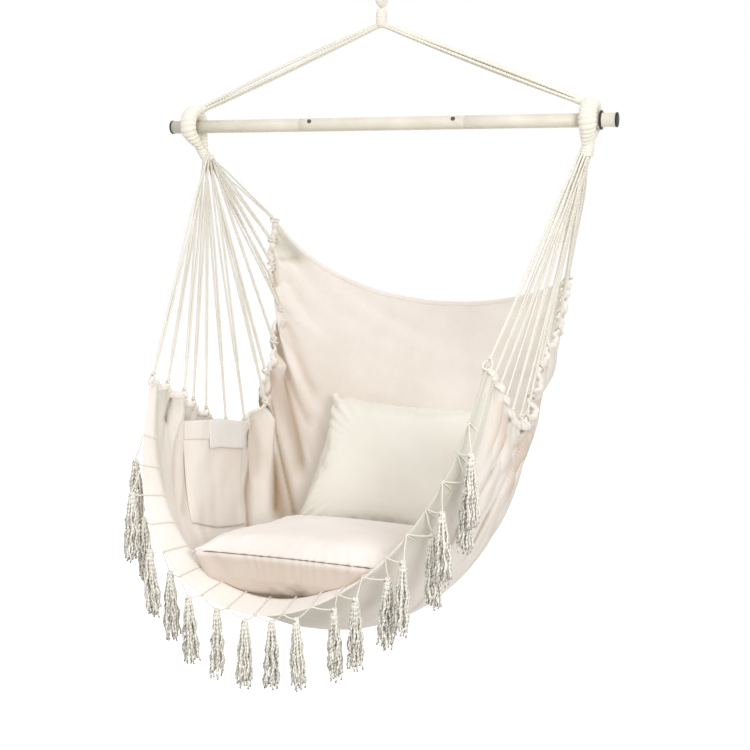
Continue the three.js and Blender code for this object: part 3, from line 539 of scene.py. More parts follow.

# Lines where the cloth lies in deep shade, painted in the warm shade tone, written like the folds, with a
# strength in place of the height
CREASE_SHADE_LINES = [
    ([(0.0, 0.105), (0.015, 0.085), (0.040, 0.064)], 1.0, 0.008, 1),
    ([(0.0, 0.165), (0.016, 0.176), (0.038, 0.192)], 1.0, 0.008, 1),
    ([(0.05, 0.165), (0.117, 0.138), (0.167, 0.1)], 0.3, 0.012, 1),
    (
        [(0.0, 0.455), (0.025, 0.436), (0.058, 0.428), (0.104, 0.4), (0.171, 0.358), (0.2, 0.34)],
        0.8,
        0.010,
        1,
    ),
    ([(0.02, 0.545), (0.067, 0.532), (0.121, 0.511), (0.163, 0.486), (0.21, 0.44)], 0.95, 0.012, -1),
    ([(0.13, 0.512), (0.16, 0.497), (0.19, 0.477), (0.225, 0.45)], 0.7, 0.024, 1),
    ([(0.05, 0.565), (0.1, 0.554), (0.154, 0.54), (0.208, 0.512), (0.26, 0.472)], 0.75, 0.008, 1),
    (
        [(0.04, 0.665), (0.092, 0.671), (0.146, 0.667), (0.192, 0.637), (0.225, 0.6), (0.25, 0.56)],
        0.7,
        0.017,
        -1,
    ),
    ([(0.1, 0.69), (0.16, 0.69), (0.21, 0.676), (0.26, 0.654)], 0.35, 0.014, 1),
    ([(0.12, 0.78), (0.204, 0.754), (0.237, 0.729), (0.267, 0.708)], 0.2, 0.012, 1),
    ([(0.0, 0.497), (0.03, 0.512), (0.055, 0.525)], 0.9, 0.005, 1),
    ([(0.01, 0.6), (0.033, 0.588), (0.033, 0.554)], 0.8, 0.004, 1),
    ([(0.0, 0.467), (0.01, 0.44), (0.042, 0.421)], 0.8, 0.005, 1),
    ([(0.0, 0.7), (0.03, 0.705), (0.06, 0.7)], 0.7, 0.005, 1),
    ([(0.0, 0.84), (0.03, 0.85), (0.07, 0.85)], 0.6, 0.006, 1),
    (MIDDLE_FOLD, 0.75, 0.010, 1),
    (HIGH_FOLD, 0.75, 0.010, 1),
    (LOW_FOLD, 0.6, 0.009, 1),
    ([(0.86, 0.1), (0.8, 0.115), (0.754, 0.143), (0.7, 0.19), (0.66, 0.22)], 0.4, 0.008, 1),
    ([(1.0, 0.24), (0.98, 0.215), (0.955, 0.18)], 0.5, 0.007, 1),
    ([(1.0, 0.5), (0.98, 0.49), (0.95, 0.47)], 0.5, 0.007, 1),
]
# Slits between the pleats at the cords, written the same way, where no light falls and a dark shadow is
# painted
SLITS = [
    ([(0.004, 0.108), (0.02, 0.096), (0.04, 0.081)], 0.95, 0.007, 1),
    ([(0.003, 0.172), (0.018, 0.17), (0.03, 0.16)], 0.95, 0.008, 1),
    ([(0.0, 0.467), (0.012, 0.44), (0.03, 0.428)], 0.7, 0.008, 1),
    ([(0.0, 0.497), (0.03, 0.512), (0.045, 0.52)], 0.7, 0.007, 1),
    ([(1.0, 0.25), (0.985, 0.225), (0.965, 0.19)], 0.7, 0.007, 1),
    ([(1.0, 0.39), (0.987, 0.365), (0.975, 0.335)], 0.8, 0.007, 1),
]
# Where the cloth turns from the light, painted in a cooler grey shade, written the same way
COOL_SHADE_PARTS = [
    ([(1.0, 0.05), (0.95, 0.045), (0.88, 0.04), (0.8, 0.032), (0.7, 0.03)], 0.5, 0.030, 1),
    ([(0.0, 0.06), (0.03, 0.05), (0.08, 0.045), (0.16, 0.04)], 0.6, 0.035, 1),
    ([(0.0, 0.93), (0.04, 0.95), (0.09, 0.97), (0.15, 0.99)], 0.9, 0.032, 1),
    ([(0.02, 0.42), (0.05, 0.41), (0.09, 0.4)], 0.5, 0.030, 1),
    ([(0.62, 0.05), (0.5, 0.09), (0.4, 0.1)], 0.5, 0.060, 1),
]


def lines_on_cloth(table, start, widening, end_fade):
    """Each table row as points in space with its strength, half width, lean, route and direction.

    A line has the share start of its strength at its first place, grows wider by the share widening, and
    fades out over the last part of its length, which is shorter the larger end_fade is."""
    lines = []
    for places, strength, width, leaning in table:
        route = smooth_route([(a, b, 0.0) for a, b in places], 60)
        share = np.linspace(0, 1, 60)
        fade = np.clip(end_fade * (1 - share), 0, 1) ** 1.2 * np.clip(start + 3 * share, 0, 1)
        across, along = route[:, 0], route[:, 1]
        ahead = np.gradient(route[:, :2], axis=0)
        wide = width * (0.75 + widening * share)
        lines.append((drape(across, along), strength * fade, wide, leaning, route, ahead))
    return lines


def reach_of(line, base, across, along):
    """A line's strength at each place: full on the line, and falling to nothing past its half width."""
    points, strength, width, leaning, route, ahead = line
    far = np.linalg.norm(base[..., None, :] - points, axis=-1)
    nearest = far.argmin(-1)
    off = np.take_along_axis(far, nearest[..., None], -1)[..., 0] / width[nearest]
    away_across, away_along = across - route[nearest, 0], along - route[nearest, 1]
    turned = away_across * ahead[nearest, 1] - away_along * ahead[nearest, 0]
    off = off / np.where(turned * leaning > 0, STEEP_SIDE, GENTLE_SIDE)
    return strength[nearest] * np.exp(-(off**1.7))


FOLD_LINES = lines_on_cloth(FOLDS, 0.55, 0.7, 1.25)
CORDS = 15  # on each side
FIRST_CORD, LAST_CORD = -0.031, 1.029
PLEATS = 3  # from one cord to the next
chance = random.Random(11)
WAVES = [
    (chance.uniform(2, 7), chance.uniform(6, 22), chance.uniform(0, 6.28), chance.uniform(0.2, 0.5))
    for _ in range(9)
]
PLEAT_SIZES = np.array([chance.uniform(0.45, 1.25) for _ in range(2 * CORDS * PLEATS + 4)])


def cord_count(along):
    """How many cord spaces lie between the front corner and a place along the side edge."""
    return (along - FIRST_CORD) / (LAST_CORD - FIRST_CORD) * CORDS


def from_edge(across):
    """Rough distance of a place from the nearer side edge, in metres."""
    return np.minimum(across, 1 - across) * 1.2


ROLL_AT = 0.025  # share along, where the front edge's roll is highest
ROLL_ACROSS = [0.0, 0.06, 0.18, 0.3, 0.6, 0.74, 0.86, 1.0]
ROLL_HEIGHT = [0.005, 0.011, 0.019, 0.027, 0.024, 0.006, 0.0, 0.0]


def front_roll(across, along):
    """The cloth rises to a low roll just behind the front edge, which the tassels draw down."""
    high = np.interp(across, ROLL_ACROSS, ROLL_HEIGHT)
    front = np.clip(along / ROLL_AT, 0, 1)
    back = np.exp(-((np.maximum(along - ROLL_AT, 0) / 0.034) ** 2))
    return high * np.where(along < ROLL_AT, front, back)


CRIMP_HIGH, CRIMP_REACH = 0.0055, 0.045  # the pleats' height, and how far in from the edge they run
SCALLOP_HIGH, SCALLOP_REACH = 0.0070, 0.15  # the same for the wider wave from cord to cord
WAVE_HIGH = 0.0014  # of the slow waves all over the cloth


def fold_height(across, along):
    """How far the folded cloth stands towards the sitter from the smooth sling."""
    base = drape(across, along)
    height = np.zeros(np.shape(base)[:-1])
    for line in FOLD_LINES:
        height += reach_of(line, base, across, along)
    edge = from_edge(across)
    count = cord_count(along)
    pleat = count * PLEATS
    index = np.clip(np.floor(pleat), 0, CORDS * PLEATS).astype(int)
    index = index + np.where(across > 0.5, CORDS * PLEATS, 0)
    size = PLEAT_SIZES[index] * (1 - (pleat % 1)) + PLEAT_SIZES[index + 1] * (pleat % 1)
    crimp = 1 - 2 * np.abs(np.sin(np.pi * pleat)) ** 0.7
    height += CRIMP_HIGH * size * crimp * np.exp(-edge / CRIMP_REACH)
    scallop = np.cos(2 * np.pi * (count - 0.5)) * np.exp(-((edge / SCALLOP_REACH) ** 2))
    height += SCALLOP_HIGH * size * scallop
    height += front_roll(across, along)
    calm = 0.35 + 0.65 * np.exp(-((edge / 0.25) ** 2))
    for u_rate, v_rate, phase, strength in WAVES:
        wave = np.sin(2 * np.pi * (u_rate * across + v_rate * along) + phase)
        height += WAVE_HIGH * strength * calm * wave
    return height


HEM_SHARE = 0.0235  # share along that the front hem takes
# How far the hem's free edge is drawn out by the tassels, in metres, at shares across
DRAWN_ACROSS = [0.0, 0.12, 0.3, 0.5, 0.66, 0.8, 0.92, 1.0]
DRAWN_BY = np.array(
    [
        [0.0, 0.0, 0.0],
        [-0.006, -0.005, 0.0],
        [-0.007, -0.008, -0.006],
        [-0.001, -0.008, -0.013],
        [-0.005, -0.004, -0.008],
        [-0.006, 0.0, 0.0],
        [-0.005, 0.0, 0.0],
        [0.0, 0.0, 0.0],
    ]
)


def on_cloth(across, along, proud=0.0):
    """Points on the folded cloth, or a little in front of or behind it, with its scalloped side edges."""
    across, along = np.broadcast_arrays(np.asarray(across, float), np.asarray(along, float))
    facing = inwards(across, along)
    point = drape(across, along) + facing * (fold_height(across, along) + proud)[..., None]
    sideways = unit(drape(across + 0.01, along) - drape(across - 0.01, along))
    drawn = np.stack([np.interp(across, DRAWN_ACROSS, DRAWN_BY[:, k]) for k in range(3)], -1)
    point = point + drawn * np.clip(1 - along / HEM_SHARE, 0, None)[..., None]
    slack = 0.006 * np.sin(np.pi * (cord_count(along) - 0.5)) ** 2 * np.exp(-from_edge(across) / 0.03)
    return point + sideways * (slack * np.where(across < 0.5, 1, -1))[..., None]


CREASE_SHADE_TONE = "#A2835C"  # painted shade deep in a fold, warm as light that bounces inside the cotton
COOL_SHADE_TONE = "#CDCDBF"  # painted cool grey shade where the cloth turns from the light
SLIT_SHADOW_TONE = "#54483A"  # painted shadow in a slit between two pleats
SHADED_SIDE = (0.352, -0.926, 0.139)  # the painted shade lies only on the side of the cloth that faces the camera

def larger(material, first, second):
    """The larger of two values."""
    links = {0: first, 1: second}
    return add_node(material, "ShaderNodeMath", links=links, operation="MAXIMUM").outputs["Value"]


def laid_over(material, below, share, colour):
    """A tone with a share of another colour laid over it."""
    inputs, links = {7: linear(colour)}, {0: share, 6: below}
    return add_node(material, "ShaderNodeMix", inputs, links, data_type="RGBA").outputs[2]


# Cotton canvas, loom state: warm white, matt, with a plain weave of 0.6 mm threads drawn twice as coarse as
# life so that it shows, faint slubs, and a soft mottle from handling and wash
def canvas_finish(name, dark, light, weave_mm=1.2, strength=0.35):
    """Woven cotton, with the painted shade that a piece carries as "crease", on the side that shows it."""
    material = new_material(
        name, Roughness=0.9, Sheen_Weight=0.2, Sheen_Roughness=0.5, Specular_IOR_Level=0.25
    )
    cut = add_node(material, "ShaderNodeUVMap", uv_map="cut").outputs["UV"]
    threads = [
        add_node(
            material,
            "ShaderNodeTexWave",
            {"Scale": 1000 / weave_mm / 20, "Distortion": 0.6, "Detail": 1.0},
            {"Vector": cut},
            bands_direction=direction,
        ).outputs["Fac"]
        for direction in ("X", "Y")
    ]
    slubs = noise(material, 240.0, 2.0)
    mottled = with_part(material, noise(material, 7.0, 5.0, 0.6), 0.22, slubs)
    tone = ramp(material, mottled, dark, light, 0.4, 0.82)
    # Painted shade, only on the side that faces the camera: cool grey, warm in creases, dark in slits
    normal = add_node(material, "ShaderNodeTexCoord").outputs["Normal"]
    towards = add_node(
        material, "ShaderNodeVectorMath", {1: SHADED_SIDE}, {0: normal}, operation="DOT_PRODUCT"
    ).outputs["Value"]
    links = {
        0: add_node(material, "ShaderNodeVertexColor", layer_name="crease").outputs["Color"],
        "Scale": spread_over(material, towards, 0.0, 1.0, -0.05, 0.12),
    }
    painted = add_node(material, "ShaderNodeVectorMath", links=links, operation="SCALE").outputs["Vector"]
    marks = add_node(material, "ShaderNodeSeparateColor", links={"Color": painted}).outputs
    for channel, colour in (("Green", COOL_SHADE_TONE), ("Red", CREASE_SHADE_TONE), ("Blue", SLIT_SHADOW_TONE)):
        tone = laid_over(material, tone, marks[channel], colour)
    relief = with_part(material, larger(material, *threads), 0.5, slubs)
    feed(material, Base_Color=tone, Normal=bump(material, relief, strength, 0.0003))
    return material


canvas = canvas_finish("loom_state_cotton_canvas", "#ECE3DA", "#F5EEE7")


def lay_cut(bm, spot):
    """Lays the cloth's cut out as UVs: each corner at the spot of its vertex."""
    cut = bm.loops.layers.uv.new("cut")
    for face in bm.faces:
        for loop in face.loops:
            loop[cut].uv = spot(loop.vert.co)


def cloth_piece(name, columns, rows, place, cut_size, material, replaced, thickness):
    """A sheet of cloth: a grid bent by place(share across, share along), with its cut laid out as UVs."""
    bm = bmesh.new()
    bmesh.ops.create_grid(bm, x_segments=columns, y_segments=rows, size=0.5)
    lay_cut(bm, lambda co: ((co.x + 0.5) * cut_size[0], (co.y + 0.5) * cut_size[1]))
    shares = np.array([vertex.co[:2] for vertex in bm.verts]) + 0.5
    for vertex, point in zip(bm.verts, place(shares[:, 0], shares[:, 1])):
        vertex.co = point
    piece = new_object(name, bm)
    wall = piece.modifiers.new("thickness", "SOLIDIFY")
    wall.thickness = thickness
    wall.offset = 0
    return dress(piece, material, "hammock", replaced)


SLING_COLUMNS, SLING_GRID_ROWS = 132, 300
SLING_START, SLING_LONG = 0.006, 0.99  # shares along that the sling's grid covers, clear of the hems


def crowded(share):
    """Shares across with closer columns towards the side edges."""
    return share - 0.5 * np.sin(2 * np.pi * share) / (2 * np.pi)


def sling_place(s, t):
    """Places on the sling's grid, inside its hems."""
    return on_cloth(crowded(s), SLING_START + t * SLING_LONG)


SLING_CUT = (1.25, 1.24)
CANVAS_THICK = 0.0022
sling = cloth_piece(
    "canvas_sling",
    SLING_COLUMNS,
    SLING_GRID_ROWS,
    sling_place,
    SLING_CUT,
    canvas,
    ["sling_cloth"],
    CANVAS_THICK,
)


def paint(piece, name, colours):
    """Paints a piece's vertices, a colour each, for its material to read by name."""
    layer = piece.data.color_attributes.new(name, "FLOAT_COLOR", "POINT")
    layer.data.foreach_set("color", colours.ravel().astype(np.float32))


def paint_crease_shade(piece, columns, rows):
    """Paints shade into the canvas's tone: warm shade of deep creases in red, cool grey shade in green and
    the shadow of slits in blue.
    """
    across, along = np.meshgrid(np.linspace(0, 1, columns + 1), np.linspace(0, 1, rows + 1))
    across, along = crowded(across), SLING_START + along * SLING_LONG
    base = drape(across, along)
    height = fold_height(across, along)
    around = np.zeros_like(height)
    for step in (4, 8):
        for down, right in ((step, 0), (-step, 0), (0, step), (0, -step)):
            around += np.roll(height, (down, right), (0, 1)) / 8
    # Painted shade in the valleys between folds, where the cloth lies lower than around it
    deep = 0.45 * np.clip((around - height - 0.001) / 0.01, 0, 1) ** 0.8
    deep[:10] = deep[-8:] = 0
    deep[:, :4] = deep[:, -4:] = 0
    # Painted cool grey shade along the side edges
    near_edge = 0.45 * np.exp(-((from_edge(across) / 0.022) ** 2))

    def marked(table, start, end_fade, before):
        """How much of the cloth's own tone painted shade covers at each place, with a table's lines added.
        """
        plain = 1 - before
        for line in lines_on_cloth(table, start, 0.3, end_fade):
            plain = plain * (1 - reach_of(line, base, across, along))
        return 1 - plain

    crease_shade = marked(CREASE_SHADE_LINES, 0.8, 8.0, deep)
    cool_shade = marked(COOL_SHADE_PARTS, 1.0, 3.0, near_edge)
    slit = marked(SLITS, 0.9, 6.0, np.zeros_like(height))
    paint(piece, "crease", np.stack([crease_shade, cool_shade, slit, np.ones_like(height)], -1))


paint_crease_shade(sling, SLING_COLUMNS, SLING_GRID_ROWS)

# Front and back hems
# The canvas is turned over twice and sewn down along both edges, a band of about 30 mm in front and a
# narrow one at the back. The fringe cord's stitches pinch the front band a little.
STITCHES = 19
FREE_SHARE = 0.085  # of the hem's length, without fringe at each end
SHADE, SHADE_RUN = 0.75, 0.12  # how grey the painted shade turns the front band's right part, over how many metres
NOWHERE = 9.0  # an x off the chair, for a band that isn't shaded


def hem_line(along, count):
    """Shares across at even steps along the hem's own length."""
    fine = np.linspace(0, 1, 400)
    run = run_along(on_cloth(fine, along))
    return np.interp(np.linspace(0, run[-1], count), run, fine)


STITCH_PLACES = np.interp(
    np.linspace(FREE_SHARE, 1 - FREE_SHARE, STITCHES), np.linspace(0, 1, 401), hem_line(0.0, 401)
)


def band(name, first, last, half_thick, steps, replaced, pinched, shaded_from):
    """A turned hem that follows the cloth from one share along to another, on both its sides.

    To the right of x = shaded_from a painted cool grey shade covers it."""
    centre, half = (first + last) / 2, (last - first) / 2
    places = hem_line(centre, steps + 1)
    stitch_share = np.interp(STITCH_PLACES, places, np.linspace(0, 1, steps + 1))

    def surface(along, around):
        a = 2 * np.pi * around
        near = np.abs(along[:, None] - stitch_share).min(1)
        pinch = pinched * np.exp(-((near / 0.006) ** 2))
        wide = half * np.sign(np.cos(a)) * np.abs(np.cos(a)) ** 0.5
        thick = half_thick * (1 - 0.3 * pinch) * np.sign(np.sin(a)) * np.abs(np.sin(a)) ** 0.8
        ends = np.clip(np.minimum(along, 1 - along) / 0.004, 0.35, 1)
        return on_cloth(places[np.rint(along * steps).astype(int)], centre + wide, thick * ends)

    bm = shaped_grid(bmesh.new(), steps, 24, surface)
    lay_cut(bm, lambda co: (co.x, co.z))
    # Painted cool grey shade over the band's right part, which turns from the light
    marks = bm.verts.layers.float_color.new("crease")
    for vertex in bm.verts:
        turned = min(max((vertex.co.x - shaded_from) / SHADE_RUN, 0), 1)
        vertex[marks] = (0, SHADE * turned, 0, 1)
    return finish_piece(name, bm, canvas, "hammock", replaced)


front_band = band("front_hem_band", -0.0015, HEM_SHARE, 0.0030, 330, ["front_hem"], 1.0, 0.14)
back_band = band("back_hem_band", 0.988, 0.999, 0.0026, 220, ["back_hem"], 0.0, NOWHERE)

# Side edges
# Each side edge is turned over a gathered channel. The cords' loops cinch it, so that it puffs out between
# them and puckers under each one.
EDGE_STEPS, EDGE_LUMPS = 340, 60
EDGE_HALF_WIDE, EDGE_HALF_THICK = 0.0060, 0.0038
for side, word in SIDES:
    across = 0.0 if side < 0 else 1.0
    steps = EDGE_STEPS
    places = np.linspace(0.004, 0.996, steps + 1)
    middle = on_cloth(across, places)
    ahead = unit(np.gradient(middle, axis=0))
    facing = inwards(np.full(steps + 1, across), places)
    aside = unit(np.cross(ahead, facing))
    facing = np.cross(aside, ahead)
    count = cord_count(places)
    puff = np.sin(np.pi * (count - 0.5)) ** 2
    chance = random.Random(21 + side)
    lumps = np.array([chance.uniform(-1, 1) for _ in range(EDGE_LUMPS)])
    lump = np.interp(np.linspace(0, EDGE_LUMPS - 1, steps + 1), np.arange(EDGE_LUMPS), lumps)

    def edge_surface(along, around):
        """The channel, puffed out between the cords and puckered at each."""
        i = np.rint(along * steps).astype(int)
        a = 2 * np.pi * around
        pucker = 0.0009 * np.cos(2 * np.pi * count[i] * 4) * (1 - puff[i])
        wide = EDGE_HALF_WIDE + 0.0022 * puff[i] + 0.0008 * lump[i] + pucker
        thick = EDGE_HALF_THICK + 0.0018 * puff[i] + 0.0006 * lump[i] + pucker
        ends = np.sqrt(np.clip(np.minimum(along, 1 - along) / 0.01, 0.02, 1))
        crease = 1 + 0.08 * np.cos(3 * a + 5 * count[i])
        flat = aside[i] * (wide * ends * crease * np.cos(a))[:, None]
        return middle[i] + flat + facing[i] * (thick * ends * crease * np.sin(a))[:, None]

    bm = shaped_grid(bmesh.new(), steps, 16, edge_surface)
    lay_cut(bm, lambda co: (co.y, co.z))
    finish_piece("side_edge_" + word, bm, canvas, "hammock", ["side_casing_" + word])

# Body cords
# Fifteen doubled cotton cords a side fan out from the neck to the side edge. The two strands of each run
# side by side, close in on its knot, and end in a loop round the gathered channel.
CORD_RADIUS = 0.0023
LOOP_LAY = 0.0165  # metres in which a strand of the loops and knots goes round once
KNOT_OFF = 0.0155  # from the edge's middle line
CORD_PLACES = FIRST_CORD + (np.arange(CORDS) + 0.5) / CORDS * (LAST_CORD - FIRST_CORD)
for side, word in SIDES:
    across = 0.0 if side < 0 else 1.0
    foot = np.array([side * (EYE_X - NECK_LEAN[side]), 0.0, BAR_Z - NECK_DROP])
    bm = bmesh.new()
    ends = on_cloth(across, CORD_PLACES)
    tangents = unit(on_cloth(across, CORD_PLACES + 0.01) - on_cloth(across, CORD_PLACES - 0.01))
    chance = random.Random(40 + side)
    for i, (end, tangent) in enumerate(zip(ends, tangents)):
        share = (i + 0.5) / CORDS
        start = foot + np.array([side * ((i % 3) - 1) * 0.0055, 0.0115 * (2 * share - 1), 0.006])
        reach = np.linalg.norm(start - end)
        pull = unit(start - end)
        out = unit(pull - tangent * pull.dot(tangent))
        other = np.cross(tangent, out)
        knot = end + pull * KNOT_OFF
        for strand in (-1, 1):
            bow = tangent * (strand * chance.uniform(0.003, 0.0055)) + other * chance.uniform(-0.002, 0.002)
            corners = [
                start + strand * np.array([0.0028 * side, 0.0035, 0.0]),
                start * 0.72 + knot * 0.28 + bow * 1.5,
                start * 0.4 + knot * 0.6 + bow,
                knot + tangent * (strand * 0.0016),
            ]
            route = smooth_route(corners, max(60, round(reach / 0.0022)))
            lay_rope(bm, route, CORD_RADIUS * chance.uniform(0.85, 1.15), LAID_EVERY)
        # The loop round the channel, then the turns of its knot
        turn = np.linspace(0, 2 * np.pi, 49)
        hugging = 0.0098 + 0.0045 * np.clip(np.cos(turn), 0, 1) ** 3
        loop = end + np.outer(hugging * np.cos(turn), out) + np.outer(0.0088 * np.sin(turn), other)
        lay_rope(bm, loop + np.outer(np.linspace(-0.0016, 0.0016, 49), tangent), CORD_RADIUS, LOOP_LAY)
        turn = np.linspace(0, 2 * np.pi * 2.2, 45)
        rise = np.linspace(-0.004, 0.0045, 45)
        coil = knot + np.outer(rise, pull) + np.outer(0.0034 * np.cos(turn), tangent)
        lay_rope(bm, coil + np.outer(0.0034 * np.sin(turn), np.cross(pull, tangent)), 0.0017, LOOP_LAY)
    hammock_rope("fan_cords_" + word, bm, "body_cords_" + word)

# Pocket
# A panel of the same canvas is sewn to the inside of the left wall at its sides and foot and stands open at
# the top, where its edge is turned over. A bare patch of whiter tape is sewn on the turned edge.
POCKET_MOUTH = (0.026, -0.012)  # share across at the mouth's front and back end
POCKET_FOOT = 0.172
POCKET_ALONG = ((0.168, 0.425), (0.135, 0.350))  # at its mouth, at its foot
POCKET_DEPTH = 0.024


def pocket_place(below, along_share, proud):
    """Places on the pocket, which lies on the wall at its sides and foot and swells off it at its mouth."""
    lip = POCKET_MOUTH[0] + (POCKET_MOUTH[1] - POCKET_MOUTH[0]) * np.clip(along_share * 1.2, 0, 1)
    across = lip + (POCKET_FOOT - lip) * below
    mouth, foot = [low + (high - low) * along_share for low, high in POCKET_ALONG]
    along = mouth + (foot - mouth) * below
    swell = (1 - np.clip(below, 0, 1) ** 3) * (1 - np.abs(2 * along_share - 1) ** 6)
    slack = 0.0022 * np.sin(9 * below + 3) * np.sin(11 * along_share + 5 * below) * swell
    keep = np.clip(swell, 0, 1)[..., None]
    wall = on_cloth(across, along) * (1 - keep) + drape(across, along) * keep
    off_wall = 0.0026 + POCKET_DEPTH * swell + slack + proud
    return wall + inwards(across, along) * off_wall[..., None]


def panel_place(s, t):
    """The whole panel, s from its mouth down and t from its front to its back."""
    return pocket_place(s, t, 0.0)


def turned_edge_place(s, t):
    """The band along the mouth, laid on the panel and closer to it towards its lower edge."""
    return pocket_place(-0.01 + 0.17 * s, t, 0.0024 - 0.0012 * s**4)


def patch_place(s, t):
    """The patch, over the back part of the band and a little below it."""
    return pocket_place(-0.006 + 0.25 * s, 0.30 + 0.69 * t, 0.0038)


pocket = cloth_piece("pocket_cloth", 40, 70, panel_place, (0.19, 0.3), canvas, ["pocket_panel"], 0.0016)
pocket_band = cloth_piece(
    "pocket_turned_edge", 10, 70, turned_edge_place, (0.03, 0.3), canvas, ["pocket_hem"], 0.0022
)
# Woven cotton tape, a little whiter and smoother than the canvas
tape = canvas_finish("white_cotton_tape", "#EBE8E4", "#F4F2EE", 0.9, 0.2)
patch = cloth_piece("pocket_patch", 12, 30, patch_place, (0.04, 0.13), tape, (), 0.0008)

# Seat cushion
# A square cushion of brushed cotton, stuffed with fibre: a crowned top, sides drawn in between its corners,
# and one seam all round where the two covers meet. Its belly lies in the sling.
UNDER_SHADE_TONE = "#C4AE95"  # painted shade on the lower cover, which faces away from the light, in a warmer tone
CUSHION_HALF_WIDTH = 0.22
SWELL_CAP = 0.010  # how far the stuffing may swell a cover out from its solid
SHRUNK = 0.975  # a cover starts a little smaller than its solid
VOXEL = 0.0062
COVER_GAP = 0.0022  # between a cover and the middle of the canvas
STUFFING = {
    "use_pressure": True,
    "uniform_pressure_force": 4.0,
    "quality": 5,
    "tension_stiffness": 12,
    "compression_stiffness": 12,
}
STUFFING_FRAMES = 18


def cover_finish(name, dark, light):
    """Brushed cotton: soft and even, with a faint nap, a slow change of tone over the stuffing, and painted
    shade on its lower cover.
    """
    material = new_material(
        name, Roughness=0.88, Sheen_Weight=0.3, Sheen_Roughness=0.45, Specular_IOR_Level=0.25
    )
    nap = noise(material, 700.0, 3.0)
    shade = with_part(material, noise(material, 6.0, 4.0), 0.25, nap)
    tone = ramp(material, shade, dark, light, 0.4, 0.85)
    under = add_node(material, "ShaderNodeVertexColor", layer_name="under").outputs["Color"]
    relief = with_part(material, noise(material, 34.0, 4.0, 0.55), 0.12, nap)
    feed(
        material,
        Base_Color=laid_over(material, tone, under, UNDER_SHADE_TONE),
        Normal=bump(material, relief, 0.3, 0.0014),
    )
    return material


def settle(piece):
    """Turns a piece's modifiers into its own mesh."""
    finished = bpy.data.meshes.new_from_object(
        piece.evaluated_get(bpy.context.evaluated_depsgraph_get())
    )
    piece.modifiers.clear()
    piece.data = finished


def vertex_rows(mesh, what):
    """The places ("co") or directions ("normal") of a mesh's vertices, a row each."""
    flat = np.empty(len(mesh.vertices) * 3)
    mesh.vertices.foreach_get(what, flat)
    return flat.reshape(-1, 3)


def surface_tree(mesh):
    """A tree that finds places on a mesh's surface."""
    places = [vertex.co.copy() for vertex in mesh.vertices]
    return BVHTree.FromPolygons(places, [tuple(face.vertices) for face in mesh.polygons])


cloth_tree = surface_tree(sling.data)


def lie_on_cloth(piece, inside, gap):
    """Presses the points that would pass through the canvas back to a gap inside it."""
    inside = Vector(inside)
    for vertex in piece.data.vertices:
        spot, normal, _, _ = cloth_tree.find_nearest(vertex.co)
        if normal.dot(inside - spot) < 0:
            normal = -normal
        if normal.dot(vertex.co - spot) < gap:
            vertex.co = spot + normal * gap
    piece.data.update()


def stuffed(name, node, place, material, half_depth, slump):
    """A cushion blown up as cloth from its CAD solid, sewn in its middle plane, and laid to rest."""
    bm = bmesh.new()
    bm.from_mesh(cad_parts[node].data)
    bmesh.ops.remove_doubles(bm, verts=bm.verts, dist=1e-5)
    centre = place @ Vector((0, 0, 0))
    bmesh.ops.scale(bm, vec=(SHRUNK, SHRUNK, SHRUNK), space=Matrix.Translation(-centre), verts=bm.verts)
    piece = new_object(name, bm)
    remesh = piece.modifiers.new("even_mesh", "REMESH")
    remesh.mode = "VOXEL"
    remesh.voxel_size = VOXEL
    settle(piece)
    start = vertex_rows(piece.data, "co")
    cloth = piece.modifiers.new("stuffing", "CLOTH")
    for setting, value in STUFFING.items():
        setattr(cloth.settings, setting, value)
    cloth.settings.effector_weights.gravity = 0.0
    for step in range(1, STUFFING_FRAMES + 1):
        bpy.context.scene.frame_set(step)
    settle(piece)
    bpy.context.scene.frame_set(1)
    moved = vertex_rows(piece.data, "co") - start
    far = np.linalg.norm(moved, axis=1)
    held = moved * (np.minimum(far, SWELL_CAP) / np.maximum(far, 1e-9))[:, None]
    piece.data.vertices.foreach_set("co", (start + held).ravel())
    piece.data.update()
    soften = piece.modifiers.new("finer", "SUBSURF")
    soften.levels = soften.render_levels = 1
    settle(piece)
    sew(piece, place, half_depth, **slump)
    lie_on_cloth(piece, (0.0, -0.1, -0.85), COVER_GAP)
    return dress(piece, material, node, [node])


